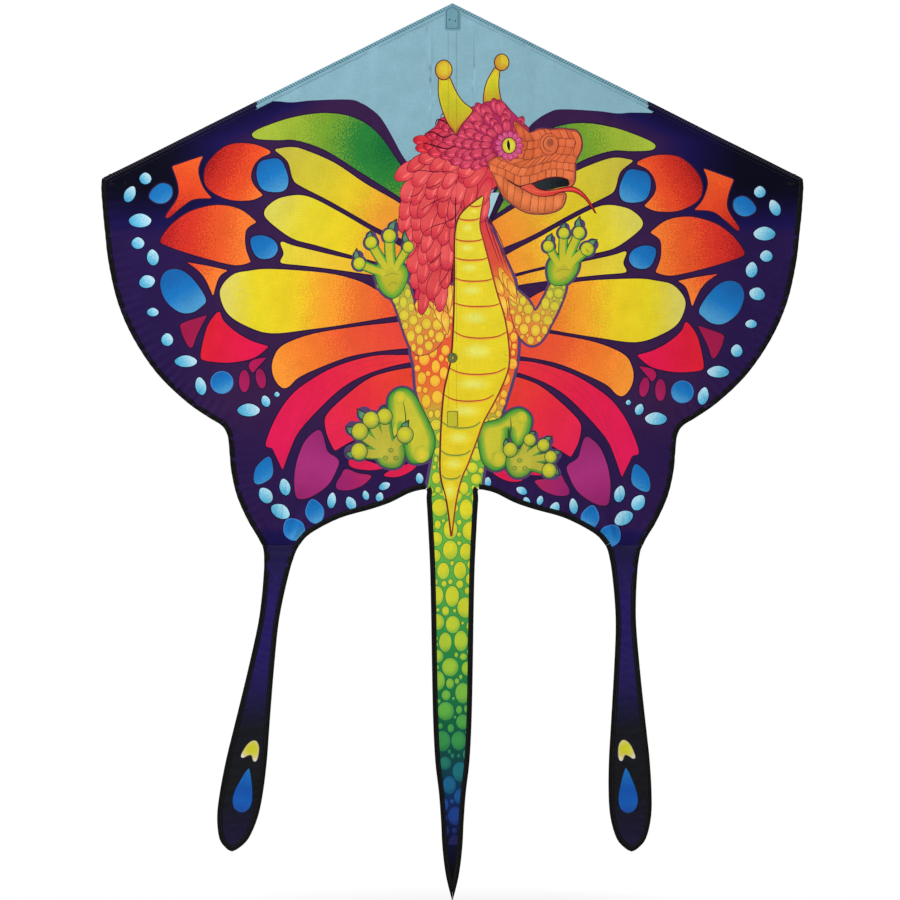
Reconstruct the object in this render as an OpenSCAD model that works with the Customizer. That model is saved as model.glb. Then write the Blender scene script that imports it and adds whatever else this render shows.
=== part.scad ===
// Dragon kite: a printed butterfly-wing sail on a crossed rod frame, with three tails.
// X runs to the right wing tip, Z runs up to the nose, and the printed face looks along -Y.
// The origin is the middle of the bridle eyelet, in the plane of the sail.
// Every rod lies behind the sail, in the plane y = rod_y.

/* [Size] */
// Wing tip to wing tip, over the edge tape
span = 1334; // [1200:2:1500]

/* [Cloth] */
// Thickness of the sail and tail cloth solids
cloth_t = 0.8; // [0.6:0.1:1.2]
// Width of the black tape folded over the free edges
binding_w = 10; // [8:1:12]
// Thickness of the folded edge tape
binding_t = 1.8; // [1.4:0.1:2]
// Width of the leading-edge hem
hem_w = 14; // [12:1:16]
// Thickness of the leading-edge hem
hem_t = 1.6; // [1.2:0.1:1.8]
// Wall of the sewn sleeves, pockets and patches
patch_t = 0.6; // [0.4:0.1:0.8]

/* [Frame] */
// Diameter of the spine rod and of the two spar rods
rod_d = 5; // [4:0.5:6]
// Diameter of the two bent bow rods
bow_d = 4; // [3:0.5:5]
// Distance from the middle of the cloth back to the rods' centre lines
rod_y = 5.5; // [5.5:0.5:7]
// Fall of each spar from the spine to the wing tip, in degrees
spar_fall = 4.4; // [3:0.1:6]
// Height of the upper hub above the eyelet
upper_hub_z = 388; // [370:1:400]
// Height of the lower hub above the eyelet
lower_hub_z = 13; // [12:1:16]

/* [Eyelet] */
// Diameter of the hole that the bridle loop goes through
eyelet_hole_d = 4; // [3:0.5:5]
// Outer diameter of the eyelet flanges
eyelet_d = 19; // [16:1:22]

/* [Tails] */
// Length of each wing tail
tail_len = 580; // [500:10:640]
// How far the left tail leans outwards, as a share of its length
left_tail_lean = 0.16; // [0:0.005:0.2]
// How far the right tail leans outwards, as a share of its length
right_tail_lean = 0.025; // [0:0.005:0.2]

/* [Hidden] */
$fn = 48;

left = -1;
right = 1;

// Every in-plane size below is drawn for a span of 1334 and follows the span.
k = span / 1334;
// The wings flex about two upright lines at x = hinge_x, half the width of the belly.
hinge_x = 50;
// Half of the slit between two bodies' cloth, at the wing lines and at the tail seams
wing_slit = 0.3;
seam_slit = 1;
wing_in = hinge_x + wing_slit;
centre_out = hinge_x - wing_slit;

// Sail outline, as points that smooth curves pass through
nose_z = 674;
lead_end = [665, 341];
outer_edge = [
    [665, 341], [667, 325], [664, 280], [660, 240], [653, 180], [636, 106], [606, 37],
    [560, -31], [505, -84], [462, -114], [438, -129], [427, -148], [423.5, -180],
    [420, -216], [409, -263], [388, -310], [370, -340], [361, -356]
];
lower_edge = [
    [291, -356], [270, -334], [215, -305], [156, -288], [118, -275], [84, -258],
    [wing_in, -250]
];
belly_edge = [[centre_out, -250], [49.3, -268], [47.2, -300], [44.5, -351]];
centre_tail_edge = [
    [44.5, -351], [42.3, -400], [40.5, -480], [38.6, -600], [36.5, -690], [32.5, -765],
    [25.5, -825], [21.5, -880], [19.6, -920], [15.6, -960], [10, -993], [0, -1031]
];
// Below this height the tapes of the centre tail's two edges meet and close its tip
tip_closed_z = -984;
tail_root_z = -356;
tail_root_x = 326;

// Half width of a wing tail: [share of the length below its root, half width]
tail_form = [
    [0, 35], [0.017, 31], [0.046, 27.5], [0.083, 24.5], [0.165, 20.7], [0.26, 19.5],
    [0.39, 24], [0.51, 29.5], [0.62, 35], [0.7, 38.8], [0.8, 41], [0.885, 39], [0.957, 28],
    [0.99, 11.5], [1, 0]
];

// Spine, from the bottom pocket to the nose pocket
spine_top_z = 650;
spine_bottom_z = -127;
nose_pocket_z = 622;
bottom_pocket_z = -98;
cap_wall = 1;
cap_len = 12;
fit_gap = 0.05;
loose_gap = 0.4;
eyelet_wall = 1;

// Hubs: barrel round the spine, with a peg for each vinyl tube
hub_r = 6.5;
hub_h = 24;
hub_front_y = 1.4;
peg_end = 48;
tube_start = 56;
tube_len = 30;
tube_wall = 1.5;
ring_h = 5;
ring_r = 4.1;

// Spar: from inside its vinyl tube to the wing-tip pocket
spar_end_x = 650;
tip_pocket_len = 34;

// Bow rod: straight, a tight bend, a wide bend, then straight into the tail-root pocket
bow_start = [50, 6.3];
bow_heading = -8;
bow_run = 82;
bow_r1 = 200;
bow_turn1 = 60;
bow_r2 = 600;
bow_turn2 = 20;
bow_tip = 22;
bow_sleeve_start = 48;
// The bent rod and its sleeve have twelve flats round them
bow_sides = 12;

// Curves

// Point at t on the curve through b and c, with neighbours a and d
function bend(a, b, c, d, t) =
    0.5 * (2 * b + (c - a) * t + (2 * a - 5 * b + 4 * c - d) * t * t
    + (3 * b - a - 3 * c + d) * t * t * t);
// Smooth open curve through the points p, with n steps between each two
function smooth(p, n = 4) = concat(
    [for (i = [0:len(p) - 2]) for (j = [0:n - 1])
        bend(p[max(i - 1, 0)], p[i], p[i + 1], p[min(i + 2, len(p) - 1)], j / n)],
    [p[len(p) - 1]]);
function reversed(p) = [for (i = [len(p) - 1:-1:0]) p[i]];
function flipped(p) = [for (q = p) [-q[0], q[1]]];
function scaled(p) = [for (q = p) k * q];
// Unit normal to the right of the direction of travel at point i
function side_of(p, i) =
    let (d = p[min(i + 1, len(p) - 1)] - p[max(i - 1, 0)]) [d[1], -d[0]] / norm(d);
// Band of width w along the right-hand side of the curve p
function band(p, w) =
    concat(p, reversed([for (i = [0:len(p) - 1]) p[i] + w * side_of(p, i)]));

// Outlines

// Point on the straight leading edge at the distance x from the spine
function on_lead(x) = [x, nose_z - x * (nose_z - lead_end[1]) / lead_end[0]];
lead_curve = scaled([on_lead(wing_in), lead_end]);
apex_curve = scaled([on_lead(0), on_lead(centre_out)]);
outer_curve = scaled(smooth(outer_edge));
lower_curve = scaled(smooth(lower_edge));
belly_curve = scaled(smooth(belly_edge));
wing_outline = concat([lead_curve[0]], outer_curve, lower_curve);
centre_half = concat(apex_curve, belly_curve);
centre_outline = concat(centre_half, flipped(reversed(centre_half)));

// One edge of a wing tail, from its root to its bottom: way is 1 outside, -1 inside
function tail_edge(lean, way) = smooth([for (q = tail_form)
    k * [tail_root_x + way * q[1] + lean * tail_len * q[0],
         tail_root_z - 2 * seam_slit - tail_len * q[0]]]);
function tail_outline(lean) =
    concat(tail_edge(lean, 1), reversed(tail_edge(lean, -1)));
centre_tail_half = [for (q = smooth(centre_tail_edge)) k * q - [0, 2 * seam_slit]];
centre_tail_outline = concat(centre_tail_half, flipped(reversed(centre_tail_half)));
centre_tail_tip = scaled([[-50, tip_closed_z], [50, tip_closed_z], [50, -1100], [-50, -1100]]);

// Helpers

// Flat plate of thickness t over the outline p, centred on the sail's plane
module plate(p, t) {
    translate([0, t / 2, 0]) rotate([90, 0, 0]) linear_extrude(t) polygon(p);
}

// Flat plate over the outline p between the planes y = y0 and y = y1
module layer(p, y0, y1) {
    translate([0, y1, 0]) rotate([90, 0, 0]) linear_extrude(y1 - y0) polygon(p);
}

module on_side(side) {
    if (side == left) mirror([1, 0, 0]) children();
    else children();
}

// Section of a sewn channel for a rod or cap of radius r: x across, y away from the sail.
// It is sewn down on the surface y = base.
module channel_section(r, flange, base = cloth_t / 2) {
    inner = r + loose_gap;
    difference() {
        union() {
            plug_section(r, base);
            translate([-flange, base]) square([2 * flange, patch_t]);
        }
        translate([0, rod_y]) circle(inner);
        translate([-inner, base - 1]) square([2 * inner, rod_y - base + 1]);
    }
}

// Solid form of the same channel, used for its closed end
module plug_section(r, base = cloth_t / 2) {
    outer = r + loose_gap + patch_t;
    translate([0, rod_y]) circle(outer);
    translate([-outer, base]) square([2 * outer, rod_y - base]);
}

// Runs a section up the spine from z0 to z1
module up_spine(z0, z1) {
    translate([0, 0, z0]) linear_extrude(z1 - z0) children();
}

// Runs a section along the line from point p at the given heading, between s0 and s1
module along(p, heading, s0, s1) {
    translate([p[0], 0, p[1]]) rotate([0, 90 - heading, 0])
        translate([0, 0, s0]) linear_extrude(s1 - s0) children();
}

// Runs a section round a right-hand bend of radius r about the point c
module round_bend(c, heading, r, turn) {
    translate([c[0], 0, c[1]]) rotate([0, -heading, 0]) rotate([-90, -90, 0])
        rotate_extrude(angle = turn) translate([r, 0]) children();
}

// Vinyl cap over the end of a rod of radius r, closed at its far end
module cap_section_run(p, heading, s_end, r) {
    difference() {
        along(p, heading, s_end - cap_len, s_end + cap_wall)
            translate([0, rod_y]) circle(r + cap_wall);
        along(p, heading, s_end - cap_len - 1, s_end)
            translate([0, rod_y]) circle(r + fit_gap);
    }
}

// Spar and bow lines

spar_root = [k * hinge_x, k * (upper_hub_z - hinge_x * tan(spar_fall))];
spar_len = k * (spar_end_x - hinge_x) / cos(spar_fall);

function heading_side(h) = [sin(h), -cos(h)];
bow_h1 = bow_heading - bow_turn1;
bow_h2 = bow_h1 - bow_turn2;
bow_p1 = k * (bow_start + bow_run * [cos(bow_heading), sin(bow_heading)]);
bow_c1 = bow_p1 + k * bow_r1 * heading_side(bow_heading);
bow_p2 = bow_c1 - k * bow_r1 * heading_side(bow_h1);
bow_c2 = bow_p2 + k * bow_r2 * heading_side(bow_h1);
bow_p3 = bow_c2 - k * bow_r2 * heading_side(bow_h2);

// Runs a section along the bow from s0 in its first straight to the start of its last one
module along_bow(s0) {
    along(k * bow_start, bow_heading, s0, k * bow_run) children();
    round_bend(bow_c1, bow_heading, k * bow_r1, bow_turn1) children();
    round_bend(bow_c2, bow_h1, k * bow_r2, bow_turn2) children();
}

// Printed cloth

module centre_sail() {
    color("gold") difference() {
        plate(centre_outline, cloth_t);
        nose_hem_solid();
        belly_binding_solid();
        rotate([90, 0, 0]) cylinder(h = 4, r = eyelet_hole_d / 2 + eyelet_wall + fit_gap, center = true);
    }
}

module wing_sail(side) {
    color("tomato") on_side(side) difference() {
        plate(wing_outline, cloth_t);
        plate(band(lead_curve, hem_w), hem_t);
        plate(band(outer_curve, binding_w), binding_t);
        plate(band(lower_curve, binding_w), binding_t);
    }
}

module tail_cloth(side, lean) {
    color("indigo") on_side(side) difference() {
        plate(tail_outline(lean), cloth_t);
        tail_tape(lean);
    }
}

module centre_tail() {
    color("seagreen") difference() {
        plate(centre_tail_outline, cloth_t);
        centre_tail_tape();
    }
}

// Edge tapes and hems

module nose_hem_solid() {
    intersection() {
        plate(centre_outline, hem_t);
        union() {
            plate(band(apex_curve, hem_w), hem_t);
            mirror([1, 0, 0]) plate(band(apex_curve, hem_w), hem_t);
        }
    }
}

module nose_hem() {
    color("skyblue") nose_hem_solid();
}

module belly_binding_solid() {
    for (side = [left, right])
        on_side(side) intersection() {
            plate(band(belly_curve, binding_w), binding_t);
            plate(centre_outline, binding_t);
        }
}

module belly_binding() {
    color("black") belly_binding_solid();
}

module leading_edge_hem(side) {
    color("skyblue") on_side(side) difference() {
        intersection() {
            plate(band(lead_curve, hem_w), hem_t);
            plate(wing_outline, hem_t);
        }
        plate(band(outer_curve, binding_w), binding_t);
    }
}

module edge_binding(side) {
    color("black") on_side(side) intersection() {
        plate(wing_outline, binding_t);
        union() {
            plate(band(outer_curve, binding_w), binding_t);
            plate(band(lower_curve, binding_w), binding_t);
        }
    }
}

module tail_tape(lean) {
    intersection() {
        plate(tail_outline(lean), binding_t);
        union() {
            plate(band(tail_edge(lean, 1), binding_w), binding_t);
            plate(band(reversed(tail_edge(lean, -1)), binding_w), binding_t);
        }
    }
}

module tail_binding(side, lean) {
    color("black") on_side(side) tail_tape(lean);
}

module centre_tail_tape() {
    intersection() {
        plate(centre_tail_outline, binding_t);
        union() {
            plate(band(centre_tail_half, binding_w), binding_t);
            mirror([1, 0, 0]) plate(band(centre_tail_half, binding_w), binding_t);
            plate(centre_tail_tip, binding_t);
        }
    }
}

module centre_tail_binding() {
    color("black") centre_tail_tape();
}

// Patches, pockets and sleeves

module patch(half_w, z0, z1, front_y) {
    layer([[-half_w, z0], [half_w, z0], [half_w, z1], [-half_w, z1]], front_y - patch_t, front_y);
}

module nose_patch() {
    patch_top = [[-15, 622], [15, 622], [15, 665], [0, 672], [-15, 665]];
    color("cadetblue") layer(scaled(patch_top), -hem_t / 2 - patch_t, -hem_t / 2);
}

module nose_pocket() {
    cap_r = rod_d / 2 + cap_wall;
    end_z = k * spine_top_z + 2 * cap_wall;
    color("cadetblue") {
        up_spine(k * nose_pocket_z, end_z) channel_section(cap_r, 11);
        up_spine(end_z, end_z + patch_t) plug_section(cap_r);
    }
}

module bottom_patch() {
    color("olive") patch(k * 11.5, k * -133, k * -100, -cloth_t / 2);
}

module bottom_pocket() {
    cap_r = rod_d / 2 + cap_wall;
    end_z = k * spine_bottom_z - 2 * cap_wall;
    color("olive") {
        up_spine(end_z, k * bottom_pocket_z) channel_section(cap_r, 11);
        up_spine(end_z - patch_t, end_z) plug_section(cap_r);
    }
}

module spine_sleeve() {
    gap = 2;
    below_upper = k * upper_hub_z - hub_h / 2 - ring_h - gap;
    above_upper = k * upper_hub_z + hub_h / 2 + ring_h + gap;
    above_lower = k * lower_hub_z + hub_h / 2 + ring_h + gap;
    color("slategray") {
        up_spine(above_upper, k * nose_pocket_z - gap) channel_section(rod_d / 2, 10);
        up_spine(above_lower, below_upper) channel_section(rod_d / 2, 10);
        up_spine(k * bottom_pocket_z + gap, -eyelet_d / 2 - gap) channel_section(rod_d / 2, 10);
    }
}

module tip_pocket(side) {
    cap_r = rod_d / 2 + cap_wall;
    end_s = spar_len + 2 * cap_wall;
    base = binding_t / 2;
    color("black") on_side(side) intersection() {
        union() {
            along(spar_root, -spar_fall, end_s - tip_pocket_len, end_s)
                channel_section(cap_r, 12, base);
            along(spar_root, -spar_fall, end_s, end_s + patch_t) plug_section(cap_r, base);
        }
        plate(wing_outline, 4 * rod_y);
    }
}

module bow_sleeve(side) {
    color("rebeccapurple") on_side(side)
        along_bow(k * bow_sleeve_start) channel_section(bow_d / 2, 8, $fn = bow_sides);
}

module bow_pocket(side) {
    cap_r = bow_d / 2 + cap_wall;
    gap = 1;
    end_s = bow_tip + 2 * cap_wall;
    color("black") on_side(side) {
        along(bow_p3, bow_h2, gap, end_s) channel_section(cap_r, 9);
        along(bow_p3, bow_h2, end_s, end_s + patch_t) plug_section(cap_r);
    }
}

// Round eyelet that nips the cloth between its two flanges
module bridle_eyelet() {
    hole_r = eyelet_hole_d / 2;
    flange_y = cloth_t / 2 + patch_t;
    color("darkolivegreen") rotate([90, 0, 0]) {
        difference() {
            union() {
                cylinder(h = 2 * flange_y, r = hole_r + eyelet_wall, center = true);
                translate([0, 0, cloth_t / 2]) cylinder(h = patch_t, r = eyelet_d / 2);
                translate([0, 0, -flange_y]) cylinder(h = patch_t, r = eyelet_d / 2);
            }
            cylinder(h = 10, r = hole_r, center = true);
        }
    }
}

// Rods and fittings

module spine_rod() {
    color("dimgray") up_spine(k * spine_bottom_z, k * spine_top_z)
        translate([0, rod_y]) circle(rod_d / 2);
}

module spine_top_cap() {
    color("black") cap_section_run([0, k * spine_top_z - 2 * cap_len], 90, 2 * cap_len, rod_d / 2);
}

module spine_bottom_cap() {
    color("black")
        cap_section_run([0, k * spine_bottom_z + 2 * cap_len], -90, 2 * cap_len, rod_d / 2);
}

// Moulded cross fitting: barrel, two pegs that fall outwards, and a web under each peg
module hub(z, fall, peg_d) {
    reach = k * peg_end / cos(fall);
    web_len = 14;
    beyond_pegs = 100;
    behind = 40;
    difference() {
        intersection() {
            union() {
                translate([0, rod_y, z - hub_h / 2]) cylinder(h = hub_h, r = hub_r);
                for (side = [left, right])
                    on_side(side) {
                        along([0, z], -fall, 0, reach) translate([0, rod_y]) circle(peg_d / 2);
                        along([0, z], -fall, 0, web_len)
                            translate([-hub_h / 4, rod_y - 1]) square([hub_h / 2, 2]);
                    }
            }
            translate([-beyond_pegs, hub_front_y, z - hub_h])
                cube([2 * beyond_pegs, behind, 2 * hub_h]);
        }
        translate([0, rod_y, z - hub_h]) cylinder(h = 2 * hub_h, r = rod_d / 2 + fit_gap);
    }
}

module upper_hub() {
    color("black") hub(k * upper_hub_z, spar_fall, rod_d);
}

module lower_hub() {
    color("black") hub(k * lower_hub_z, -bow_heading, bow_d);
}

module hub_stop_rings() {
    color("black")
        for (z = [k * upper_hub_z, k * lower_hub_z], end = [-1, 1])
            translate([0, rod_y, z + end * (hub_h / 2 + ring_h / 2 + 0.2) - ring_h / 2])
                difference() {
                    cylinder(h = ring_h, r = ring_r);
                    translate([0, 0, -1]) cylinder(h = ring_h + 2, r = rod_d / 2 + fit_gap);
                }
}

module spar_rod(side) {
    color("dimgray") on_side(side)
        along(spar_root, -spar_fall, tube_start - hinge_x + 1, spar_len)
            translate([0, rod_y]) circle(rod_d / 2);
}

module spar_tip_cap(side) {
    color("black") on_side(side)
        cap_section_run(spar_root, -spar_fall, spar_len, rod_d / 2);
}

// Vinyl tube: the part of it that moves with the wing
module vinyl_tube(p, heading, r) {
    difference() {
        along(p, heading, tube_start - hinge_x, tube_start - hinge_x + tube_len)
            translate([0, rod_y]) circle(r + tube_wall);
        along(p, heading, tube_start - hinge_x - 1, tube_start - hinge_x + tube_len + 1)
            translate([0, rod_y]) circle(r + fit_gap);
    }
}

module spar_tube(side) {
    color("black") on_side(side) vinyl_tube(spar_root, -spar_fall, rod_d / 2);
}

module bow_tube(side) {
    color("black") on_side(side) vinyl_tube(k * bow_start, bow_heading, bow_d / 2);
}

// Section of the bent rod
module bow_section() {
    translate([0, rod_y]) circle(bow_d / 2, $fn = bow_sides);
}

module bow_rod(side) {
    color("dimgray") on_side(side) union() {
        along_bow(tube_start - hinge_x + 1) bow_section();
        along(bow_p3, bow_h2, -fit_gap, bow_tip) bow_section();
    }
}

module bow_end_cap(side) {
    color("black") on_side(side) cap_section_run(bow_p3, bow_h2, bow_tip, bow_d / 2);
}

centre_sail();
nose_hem();
belly_binding();
nose_patch();
nose_pocket();
bottom_patch();
bottom_pocket();
bridle_eyelet();
spine_rod();
spine_top_cap();
spine_bottom_cap();
spine_sleeve();
upper_hub();
lower_hub();
hub_stop_rings();
wing_sail(left);  // left_wing_sail
leading_edge_hem(left);  // left_leading_edge_hem
edge_binding(left);  // left_edge_binding
spar_rod(left);  // left_spar_rod
spar_tube(left);  // left_spar_tube
spar_tip_cap(left);  // left_spar_tip_cap
tip_pocket(left);  // left_tip_pocket
bow_rod(left);  // left_bow_rod
bow_tube(left);  // left_bow_tube
bow_end_cap(left);  // left_bow_end_cap
bow_sleeve(left);  // left_bow_sleeve
bow_pocket(left);  // left_bow_pocket
wing_sail(right);  // right_wing_sail
leading_edge_hem(right);  // right_leading_edge_hem
edge_binding(right);  // right_edge_binding
spar_rod(right);  // right_spar_rod
spar_tube(right);  // right_spar_tube
spar_tip_cap(right);  // right_spar_tip_cap
tip_pocket(right);  // right_tip_pocket
bow_rod(right);  // right_bow_rod
bow_tube(right);  // right_bow_tube
bow_end_cap(right);  // right_bow_end_cap
bow_sleeve(right);  // right_bow_sleeve
bow_pocket(right);  // right_bow_pocket
tail_cloth(left, left_tail_lean);  // left_tail
tail_binding(left, left_tail_lean);  // left_tail_binding
tail_cloth(right, right_tail_lean);  // right_tail
tail_binding(right, right_tail_lean);  // right_tail_binding
centre_tail();
centre_tail_binding();
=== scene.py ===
"""Looks for the dragon kite: printed sail, satin tails, bound edges, sewn sleeves and pockets,
rods and fittings. Print and outlines are in millimetres: x to the right wing tip, z to the nose.
The printed face looks along -Y."""

import math
import random

import bmesh
import bpy
import numpy as np
from mathutils import Matrix, Vector
from mathutils.geometry import delaunay_2d_cdt


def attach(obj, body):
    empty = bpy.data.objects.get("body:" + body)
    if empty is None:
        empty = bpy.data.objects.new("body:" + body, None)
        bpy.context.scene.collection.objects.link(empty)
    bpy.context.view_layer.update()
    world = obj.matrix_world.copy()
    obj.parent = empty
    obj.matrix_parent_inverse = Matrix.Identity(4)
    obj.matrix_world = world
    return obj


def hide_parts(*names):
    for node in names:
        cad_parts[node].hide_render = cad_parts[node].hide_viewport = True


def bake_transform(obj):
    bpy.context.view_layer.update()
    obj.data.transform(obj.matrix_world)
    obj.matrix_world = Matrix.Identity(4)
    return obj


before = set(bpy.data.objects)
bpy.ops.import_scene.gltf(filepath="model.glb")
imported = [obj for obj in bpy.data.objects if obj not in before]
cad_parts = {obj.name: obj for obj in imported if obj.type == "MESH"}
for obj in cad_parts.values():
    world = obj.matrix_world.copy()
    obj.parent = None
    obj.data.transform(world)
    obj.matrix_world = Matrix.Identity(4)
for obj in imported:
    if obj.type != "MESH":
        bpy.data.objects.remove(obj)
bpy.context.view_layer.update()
MM = 0.001
LEFT, RIGHT = -1, 1
SIDES = {LEFT: "left", RIGHT: "right"}

# ---------------------------------------------------------------- camera
VIEW_WIDTH = 1.71
LENS = 135
SENSOR = 36
VIEW_CENTRE = Vector((-0.0045, 0, -0.1752))


def add_camera():
    """Long lens square on to the printed face."""
    data = bpy.data.cameras.new("camera")
    data.lens = LENS
    data.sensor_width = SENSOR
    data.clip_end = 100
    camera = bpy.data.objects.new("camera", data)
    bpy.context.scene.collection.objects.link(camera)
    distance = VIEW_WIDTH * LENS / SENSOR
    upright = Matrix.Rotation(math.radians(90), 4, "X")
    place = Matrix.Translation(VIEW_CENTRE + Vector((0, -distance, 0)))
    camera.matrix_world = place @ upright
    bpy.context.scene.camera = camera


add_camera()


# ---------------------------------------------------------------- curves and outlines
def smooth(points, steps=4, closed=False):
    """Smooth curve through the points. A point given twice is a corner."""
    p = np.array(points, float)
    n = len(p)
    out = []
    for i in range(n if closed else n - 1):
        if closed:
            a, b, c, d = p[i - 1], p[i], p[(i + 1) % n], p[(i + 2) % n]
        else:
            a, b, c, d = p[max(i - 1, 0)], p[i], p[i + 1], p[min(i + 2, n - 1)]
        if np.allclose(b, c):
            continue
        for j in range(steps):
            t = j / steps
            out.append(0.5 * (2 * b + (c - a) * t + (2 * a - 5 * b + 4 * c - d) * t * t
                              + (3 * b - a - 3 * c + d) * t ** 3))
    if not closed:
        out.append(p[-1])
    return np.array(out)


def resampled(curve, step):
    """The open curve again, with points an even step apart."""
    p = np.array(curve, float)
    run = np.concatenate([[0], np.cumsum(np.linalg.norm(np.diff(p, axis=0), axis=1))])
    count = max(2, int(round(run[-1] / step)) + 1)
    at = np.linspace(0, run[-1], count)
    return np.stack([np.interp(at, run, p[:, k]) for k in range(p.shape[1])], 1)


def sides(curve):
    """Unit normals to the right of the direction of travel."""
    d = np.gradient(np.array(curve, float), axis=0)
    d /= np.maximum(np.linalg.norm(d, axis=1), 1e-9)[:, None]
    return np.stack([d[:, 1], -d[:, 0]], 1)


def inset(curve, by):
    """The curve moved to its right."""
    return np.array(curve) + by * sides(curve)


def area_of(p):
    """Area of a closed outline, above 0 when it runs anticlockwise."""
    x, z = p[:, 0], p[:, 1]
    return 0.5 * float(np.sum(x * np.roll(z, -1) - np.roll(x, -1) * z))


def grown(outline, by):
    """The closed outline moved outwards."""
    d = np.roll(outline, -1, 0) - np.roll(outline, 1, 0)
    d /= np.maximum(np.linalg.norm(d, axis=1), 1e-9)[:, None]
    out = np.stack([d[:, 1], -d[:, 0]], 1) * (1 if area_of(outline) > 0 else -1)
    return outline + by * out


def inside(points, outline):
    """Which points lie inside the closed outline."""
    a, b = outline, np.roll(outline, -1, 0)
    x, z = points[:, 0:1], points[:, 1:2]
    with np.errstate(divide="ignore", invalid="ignore"):
        crosses = (a[:, 1] > z) != (b[:, 1] > z)
        at = (b[:, 0] - a[:, 0]) * (z - a[:, 1]) / (b[:, 1] - a[:, 1]) + a[:, 0]
    return np.sum(crosses & (x < at), axis=1) % 2 == 1


def nearest(points, curve):
    """Distance from each point to the curve, and how far along the curve that is."""
    line = resampled(curve, 3)
    run = 3.0 * np.arange(len(line))
    best = np.full(len(points), 1e9)
    where = np.zeros(len(points))
    for start in range(0, len(points), 4000):
        part = points[start:start + 4000]
        gap = np.linalg.norm(part[:, None, :] - line[None, :, :], axis=2)
        i = gap.argmin(axis=1)
        best[start:start + 4000] = gap[np.arange(len(part)), i]
        where[start:start + 4000] = run[i]
    return best, where


def step_up(x, low, high):
    """0 below low, 1 above high, smooth between."""
    t = np.clip((x - low) / (high - low), 0, 1)
    return t * t * (3 - 2 * t)


def turned(u, v, x, z, turn):
    """Points (u, v) turned by turn degrees and moved to x, z."""
    c, s = math.cos(math.radians(turn)), math.sin(math.radians(turn))
    return np.stack([x + u * c - v * s, z + u * s + v * c], 1)


def oval(x, z, rx, rz, turn=0, point=0):
    """Oval of half sizes rx and rz. point draws its top out into the tip of a drop."""
    count = int(np.clip((rx + rz) * 0.9, 10, 26))
    a = np.linspace(0, 2 * math.pi, count, endpoint=False)
    u = np.sin(a)
    return turned(rx * np.cos(a) * (1 - point * np.clip(u, 0, 1) ** 1.5), rz * u, x, z, turn)


def ribbon(points, width, ends=0.3, steps=4):
    """Outline of a drawn line, thick in the middle and thin at its ends."""
    line = smooth(points, steps)
    u = np.linspace(0, 1, len(line))
    half = width / 2 * (ends + (1 - ends) * np.sin(math.pi * u) ** 0.6)
    out = sides(line) * half[:, None]
    return np.concatenate([line + out, (line - out)[::-1]])


def mirrored(points, side):
    """Points of the right wing as they lie on the given side."""
    return [(side * x, z) for x, z in points]


# ---------------------------------------------------------------- sail outlines
NOSE_Z = 674
LEAD_END = (665, 341)
HINGE_X = 50
SEAM_Z = -352
TAIL_TOP_Z = -357
OUTER_EDGE = [
    (665, 341), (667, 325), (664, 280), (660, 240), (653, 180), (636, 106), (606, 37),
    (560, -31), (505, -84), (462, -114), (438, -129), (427, -148), (423.5, -180), (420, -216),
    (409, -263), (388, -310), (370, -340), (361, -357),
]
LOWER_EDGE = [
    (291, -357), (270, -334), (215, -305), (156, -288), (118, -275), (84, -258), (62, -251.5),
    (50, -250),
]
BELLY_EDGE = [
    (50, -250), (48.6, -251.5), (48.4, -256), (49.2, -268), (47.2, -300), (44.5, SEAM_Z),
]
CENTRE_TAIL_EDGE = [
    (44.5, SEAM_Z), (42.3, -402), (40.5, -482), (38.6, -602), (36.5, -692), (32.5, -767),
    (25.5, -827), (21.5, -882), (19.6, -922), (15.6, -962), (10, -995), (0, -1033),
]
# Half width of a wing tail: share of the length below its root, half width
TAIL_FORM = [
    (0, 35), (0.017, 31), (0.046, 27.5), (0.083, 24.5), (0.165, 20.7), (0.26, 19.5), (0.39, 24),
    (0.51, 29.5), (0.62, 35), (0.7, 38.8), (0.8, 41), (0.885, 39), (0.957, 28), (0.99, 11.5),
    (1, 0),
]
TAIL_LEN = 581
TAIL_X = 326
TAIL_LEAN = {LEFT: 0.16, RIGHT: 0.025}
TUCK = 2.5


def on_lead(x):
    """Point of the leading edge at x."""
    return (x, NOSE_Z - x * (NOSE_Z - LEAD_END[1]) / LEAD_END[0])


def tail_edge(side, way):
    """One edge of a wing tail, root to bottom: way is 1 outside, -1 inside."""
    lean = TAIL_LEAN[side] * TAIL_LEN
    return smooth([(TAIL_X + way * w + lean * s, TAIL_TOP_Z - TAIL_LEN * s)
                   for s, w in TAIL_FORM])


OUTER = smooth(OUTER_EDGE)
LOWER = smooth(LOWER_EDGE)
BELLY = smooth(BELLY_EDGE)
CENTRE_TAIL = smooth(CENTRE_TAIL_EDGE)
BINDING_W = 10
HEM_W = 14

# Rod lines, as in the CAD model
ROD_Y = 5.5
ROD_R = 2.5
BOW_R = 2
SPAR_FALL = 4.4
UPPER_HUB_Z = 388
LOWER_HUB_Z = 13
BOW_START = (50, 6.3)
BOW_HEADING = -8
BOW_RUNS = [("line", 82), ("bend", 200, 60), ("bend", 600, 20), ("line", 22)]


def spar_point(x):
    """Point of the spar's centre line at x."""
    return (x, UPPER_HUB_Z - x * math.tan(math.radians(SPAR_FALL)))


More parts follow.
